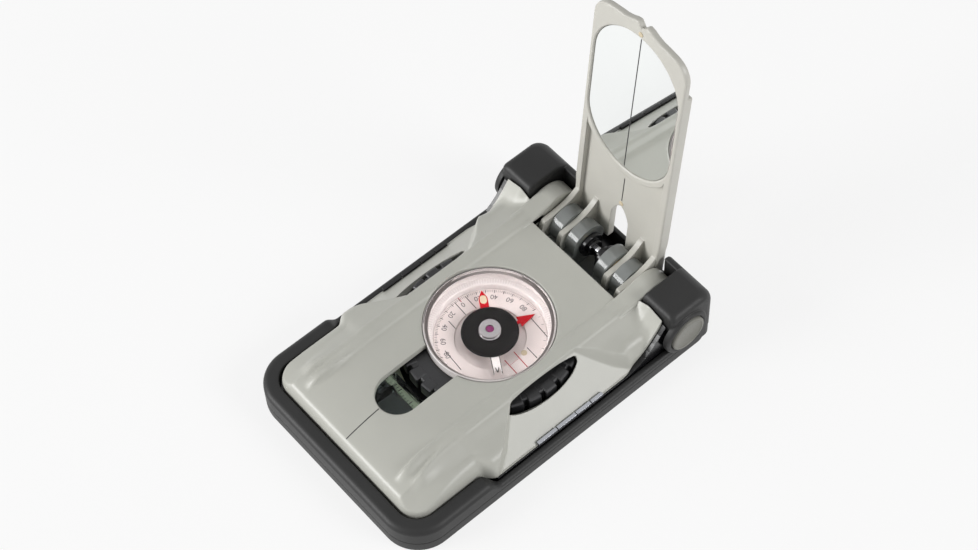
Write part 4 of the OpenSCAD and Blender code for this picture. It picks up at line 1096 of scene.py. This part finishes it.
def make_needle():
    north = turned(NEEDLE_ANGLE)
    south = turned(NEEDLE_ANGLE - 180)
    arrow = [(2, -0.8), (7.3, -0.8), (8.9, 0), (7.3, 0.8), (2, 0.8)]
    arm = prism("needle_north", arrow, NEEDLE_Z, NEEDLE_TOP, north)
    dress(soften(arm, 0.05), NEEDLE_RED, "needle", ["needle_arms"])
    fork = [(2, -0.85), (8.7, -0.8), (7.2, -0.38), (8.1, -0.1), (8.1, 0.1), (7.2, 0.38), (8.7, 0.8),
            (2, 0.85)]
    back = prism("needle_south", fork, NEEDLE_Z, FORK_TOP, south)
    dress(back, INK, "needle", ["needle_arms"])
    white = [(2, -0.7), (8.3, -0.68), (7.05, -0.27), (7.9, 0), (7.05, 0.27), (8.3, 0.68), (2, 0.7)]
    face = prism("needle_south_white", white, FORK_TOP, FORK_TOP + 0.04, south)
    dress(face, WHITE_INK, "needle", ["needle_arms"])
    patch = arc(7.15, 0, 0.6, -90, 90, 10) + arc(6.6, 0, 0.6, 90, 270, 10)
    glow = prism("needle_glow_patch", patch, NEEDLE_TOP, NEEDLE_TOP + 0.11, north)
    dress(soften(glow, 0.05), GLOW, "needle", ["needle_glow"])
    disc = lathe("needle_plate", [
        (POST_R, DISC_Z), (DISC_R - 0.1, DISC_Z), (DISC_R, DISC_Z + 0.08), (DISC_R, DISC_TOP - 0.1),
        (DISC_R - 0.1, DISC_TOP), (4.7, DISC_TOP), (4.62, DISC_TOP - 0.04), (2.6, DISC_TOP - 0.04),
        (2.5, DISC_TOP), (POST_R, DISC_TOP)
    ], closed=True)
    dress(disc, NEEDLE_BLACK, "needle", ["needle_disc"], sharp=40)
    boss = lathe("needle_hub", [
        (JEWEL_R, DISC_TOP), (1.9, DISC_TOP), (1.97, 8.28), (1.97, 8.5), (1.8, 8.6), (1.8, 8.9), (1.95, 9.0),
        (1.97, 9.2), (1.86, 9.36), (1.2, 9.4), (0.95, 9.24), (JEWEL_R, 9.2)
    ], closed=True)
    dress(boss, BOSS_SILVER, "needle", ["needle_boss"], sharp=40)
    gem = lathe("needle_gem", [
        (POST_R, DISC_TOP), (0.75, DISC_TOP), (0.75, 9.05), (0.6, 9.17), (0.3, 9.24), (0, 9.26), (0, 8.9),
        (POST_R, 8.9)
    ])
    dress(gem, JEWEL, "needle", ["needle_jewel"], sharp=50)


def make_clinometer():
    outline = arc(0, 0, 1.8, 12, 348, 40) + [(5.8, -0.32), (5.8, -1.1), (9.0, 0), (5.8, 1.1), (5.8, 0.32)]
    arrow = prism("clinometer_arrow", outline, POINTER_Z, POINTER_TOP, turned(POINTER_ANGLE))
    arrow = soften(bored(arrow, 0.82, 6, 8, flat), 0.04)
    dress(arrow, NEEDLE_RED, "clinometer", ["clinometer_pointer"])


# ---- window

def make_lens():
    """The clear block under the window, which shows the dial's scale."""
    outline = [(x - nx * 0.12, min(y - ny * 0.12, LENS_BACK)) for x, y, nx, ny in window_walk()
               if y - ny * 0.12 < -15]
    block = prism("lens_block", outline, LENS_LOW, LENS_TOP)
    dress(soften(block, 0.12), LENS, replaces=["window_lens"])
    mirror = prism("lens_prism", [(-20.5, 3.4), (-19.3, 3.4), (-19.3, 5.2), (-20.5, 3.9)], -3.4, 3.4, across)
    dress(soften(mirror, 0.06), SILVER)


# ---- lid

def lid_outline():
    peak = LID_LEN + 1.2
    right = [(0, LID_LEN), (0.9, peak - 0.06), (1.15, peak), (2.0, peak - 0.2), (3.0, LID_LEN + 0.5),
             (4.2, LID_LEN + 0.12), (5.4, LID_LEN)]
    right += arc(LID_HALF - LID_CORNER, LID_LEN - LID_CORNER - 0.25, LID_CORNER, 78, 0, 12)
    right += [(LID_HALF, 30), (LID_HALF, 8.5), (LID_FOOT_HALF, 6.5), (LID_FOOT_HALF, -LID_TAIL)]
    return right + [(-x, s) for x, s in reversed(right[1:])]


def stadium(radius, count=32):
    """The mirror's outline, a rectangle with round ends."""
    return arc(0, MIRROR_HIGH_S, radius, 0, 180, count) + arc(0, MIRROR_LOW_S, radius, 180, 360, count)


def sight_outline():
    right = [(2.2, -3.0), (2.2, 5.6), (2.1, 6.4), (1.8, 7.3), (1.3, 8.2), (0.7, 9.0), (0.0, 9.5)]
    return right + [(-x, s) for x, s in reversed(right[:-1])]


def dished(name, outline, depth, lip):
    """A cutter from in front of the lid to a depth, whose mouth is a little wider."""
    count = len(outline)
    cx = sum(p[0] for p in outline) / count
    cs = sum(p[1] for p in outline) / count
    wide = []
    for x, s in outline:
        away = hypot(x - cx, s - cs)
        wide.append((x + (x - cx) / away * lip, s + (s - cs) / away * lip))
    rings = []
    for line, m in ((wide, 1.0), (wide, LID_FACE), (outline, LID_FACE + lip), (outline, depth)):
        rings.append([on_lid(x, s, m) for x, s in line])
    return loft(name, rings)


def fin_outline(radius, top):
    """The side of an ear in (s, m): a disc on the axis, swept up into the panel."""
    points = [(-LID_TAIL, PANEL_M + 0.3), (-LID_TAIL, 3.4)]
    points += arc(0, 0, radius, 112, 300, 30)
    foot = points[-1]
    for i in range(1, 13):
        t = i / 12
        bow = sin(pi * t)
        points.append((mix(foot[0], top, t) - bow * 0.6, mix(foot[1], PANEL_M - 0.2, t) + bow))
    return points + [(top + 0.1, PANEL_M + 0.3)]


def make_lid():
    plate = prism("lid_plate", lid_outline(), LID_FACE, LID_BACK, on_lid)
    step = [(-20, LID_STEP), (20, LID_STEP), (20, 70), (-20, 70)]
    thin = prism("thin", step, LID_THIN_BACK, 12, on_lid)
    combine(plate, [thin])
    soften(plate, 0.38, 3, 40)
    half = LID_FOOT_HALF - FLANGE_W
    bezel = arc(0, MIRROR_LOW_S, MIRROR_R + BEZEL_W, 329, 211, 30)
    panel = [(half, -3), (half, MIRROR_LOW_S - 5.2)] + [(x, s) for x, s in bezel if abs(x) < half - 0.05]
    panel += [(-half, MIRROR_LOW_S - 5.2), (-half, -3)]
    combine(plate, [
        dished("panel_room", panel, PANEL_M, 0.18),
        dished("mirror_room", stadium(MIRROR_R), POCKET_M, 0.22),
        prism("sight", sight_outline(), 2, 9, on_lid),
    ])
    fins = []
    for side in SIDES.values():
        for x, radius, top in ((INNER_EAR_X, EAR_R, 5.9), (OUTER_EAR_X, OUTER_EAR_R, 6.3)):
            fin = prism("fin", fin_outline(radius, top), x, x + EAR_T, joined(side, lid_side))
            fin = bored(fin, AXLE_R + 0.1, x - 1, x + 3, joined(side, round_hinge), 48)
            fins.append(soften(fin, 0.22, 3, 40))
    gather(plate, fins)
    dress(plate, LID_GREY, "lid", ["lid_frame"], sharp=38)


def sight_line(low, high, front, back):
    """A thin upright line on the lid's middle."""
    outline = [(-LINE_HALF, low), (LINE_HALF, low), (LINE_HALF, high), (-LINE_HALF, high)]
    return prism("sight_line", outline, front, back, on_lid)


def make_mirror():
    glass = prism("mirror_plate", stadium(MIRROR_R - 0.1, 48), MIRROR_M, MIRROR_BACK, on_lid)
    dress(soften(glass, 0.1, 2), MIRROR, "lid", ["mirror_glass"])
    high = sight_line(21.35, 53.65, MIRROR_M - INK_T, MIRROR_M + INK_T)
    low = sight_line(11.0, 17.2, PANEL_M - INK_T, PANEL_M + 0.05)
    dress(gather(high, [low]), INK, "lid")
    dots = []
    for s, m in ((HIGH_DOT_S, LID_FACE), (LOW_DOT_S, PANEL_M)):
        dots.append(soften(prism("dot", arc(0, s, DOT_R, 0, 345, 23), m - 0.12, m + 0.2, on_lid), 0.08))
    dress(gather(dots[0], dots[1:]), GLOW, "lid", ["sight_dots"])


# ---- stage

def make_camera():
    az, el, roll = CAMERA_AZIMUTH, CAMERA_ELEVATION, CAMERA_ROLL
    back = Vector((sin(az) * cos(el), -cos(az) * cos(el), sin(el)))
    level_right = Vector((cos(az), sin(az), 0))
    level_up = back.cross(level_right)
    right = cos(roll) * level_right + sin(roll) * level_up
    up = -sin(roll) * level_right + cos(roll) * level_up
    place = CAMERA_RIGHT * right + CAMERA_UP * up + CAMERA_DISTANCE * back
    data = bpy.data.cameras.new("camera")
    data.lens = CAMERA_LENS
    data.sensor_width = 36
    data.clip_start = 0.01
    camera = add_object("camera", data)
    camera.matrix_world = Matrix.Translation(place) @ Matrix((right, up, back)).transposed().to_4x4()
    bpy.context.scene.camera = camera


def seen_rays(tree):
    """1 for the rays that see the background: from the camera, or by way of metal and glass."""
    paths = add_node(tree, "LightPath", {})
    total = paths.outputs["Is Camera Ray"]
    for name in ("Is Glossy Ray", "Is Transmission Ray"):
        larger = add_node(tree, "Math", {0: total, 1: paths.outputs[name]}, operation="MAXIMUM")
        total = larger.outputs["Value"]
    return total


def make_world(strength):
    world = bpy.data.worlds.new("studio")
    bpy.context.scene.world = world
    world.use_nodes = True
    tree = world.node_tree
    light = feed(tree, tree.nodes["Background"], {"Color": WHITE, "Strength": strength}).outputs[0]
    white = add_node(tree, "Background", {"Color": WHITE, "Strength": 1}).outputs[0]
    mix_shaders(tree, seen_rays(tree), light, white, "World Output")


def make_lamp(name, place, size, power):
    data = bpy.data.lights.new(name, "AREA")
    data.shape = "DISK"
    data.size = size
    data.energy = power
    spot = Vector(place)
    turn = spot.to_track_quat("Z", "Y").to_matrix().to_4x4()
    add_object(name, data).matrix_world = Matrix.Translation(spot) @ turn


def make_floor():
    """A white floor that shines a little for the rays that see it."""
    floor = shape("floor", [(-3, -3, 0), (3, -3, 0), (3, 3, 0), (-3, 3, 0)], [(0, 1, 2, 3)])
    material = look("floor_white", rgb(246, 246, 246), 0.7, vary=0.01, mottle=60, bump=0.0)
    tree = material.node_tree
    part = add_node(tree, "Math", {0: seen_rays(tree), 1: 0.8}, operation="MULTIPLY")
    shine = add_node(tree, "Emission", {"Color": WHITE})
    paint = tree.nodes["Principled BSDF"].outputs["BSDF"]
    mix_shaders(tree, part.outputs["Value"], paint, shine.outputs["Emission"])
    floor.data.materials.append(material)


def finish_nodes():
    """Materials for the CAD nodes that stay as they are."""
    kept = {
        "inner_base": GLOSS_BLACK, "housing_screws": STEEL, "hinge_axle": STEEL, "friction_washers": BRASS,
        "lens_mount": GLOSS_BLACK, "dial_retainer": STEEL, "retainer_screws": STEEL, "capsule_seal": SEAL,
        "pivot_post": STEEL, "needle_magnet": STEEL, "clinometer_bush": BRASS, "mirror_pad": PAD,
    }
    for name, material in kept.items():
        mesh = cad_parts[name].data
        mesh.materials.clear()
        mesh.materials.append(material)


make_camera()
make_world(0.3)
make_lamp("key", (-0.45, -0.83, 0.33), 0.6, 8.6)
make_lamp("fill", (0.78, 0.36, 0.5), 0.5, 4.6)
make_floor()
make_case()
for name, place in SIDES.items():
    make_lug("armour_lug_" + name, place)
for name, place in SIDES.items():
    make_cap(name, place)
make_housing()
make_index_line()
for name, place in SIDES.items():
    make_strip(name, place)
make_knuckles()
make_collars()
make_dial_ring()
make_scale_ring()
make_bowl()
make_rim_marks()
make_rim()
make_capsule_top()
make_plate()
make_plate_marks()
make_needle()
make_clinometer()
make_lens()
make_lid()
make_mirror()
finish_nodes()
bpy.context.scene.view_settings.view_transform = "Standard"
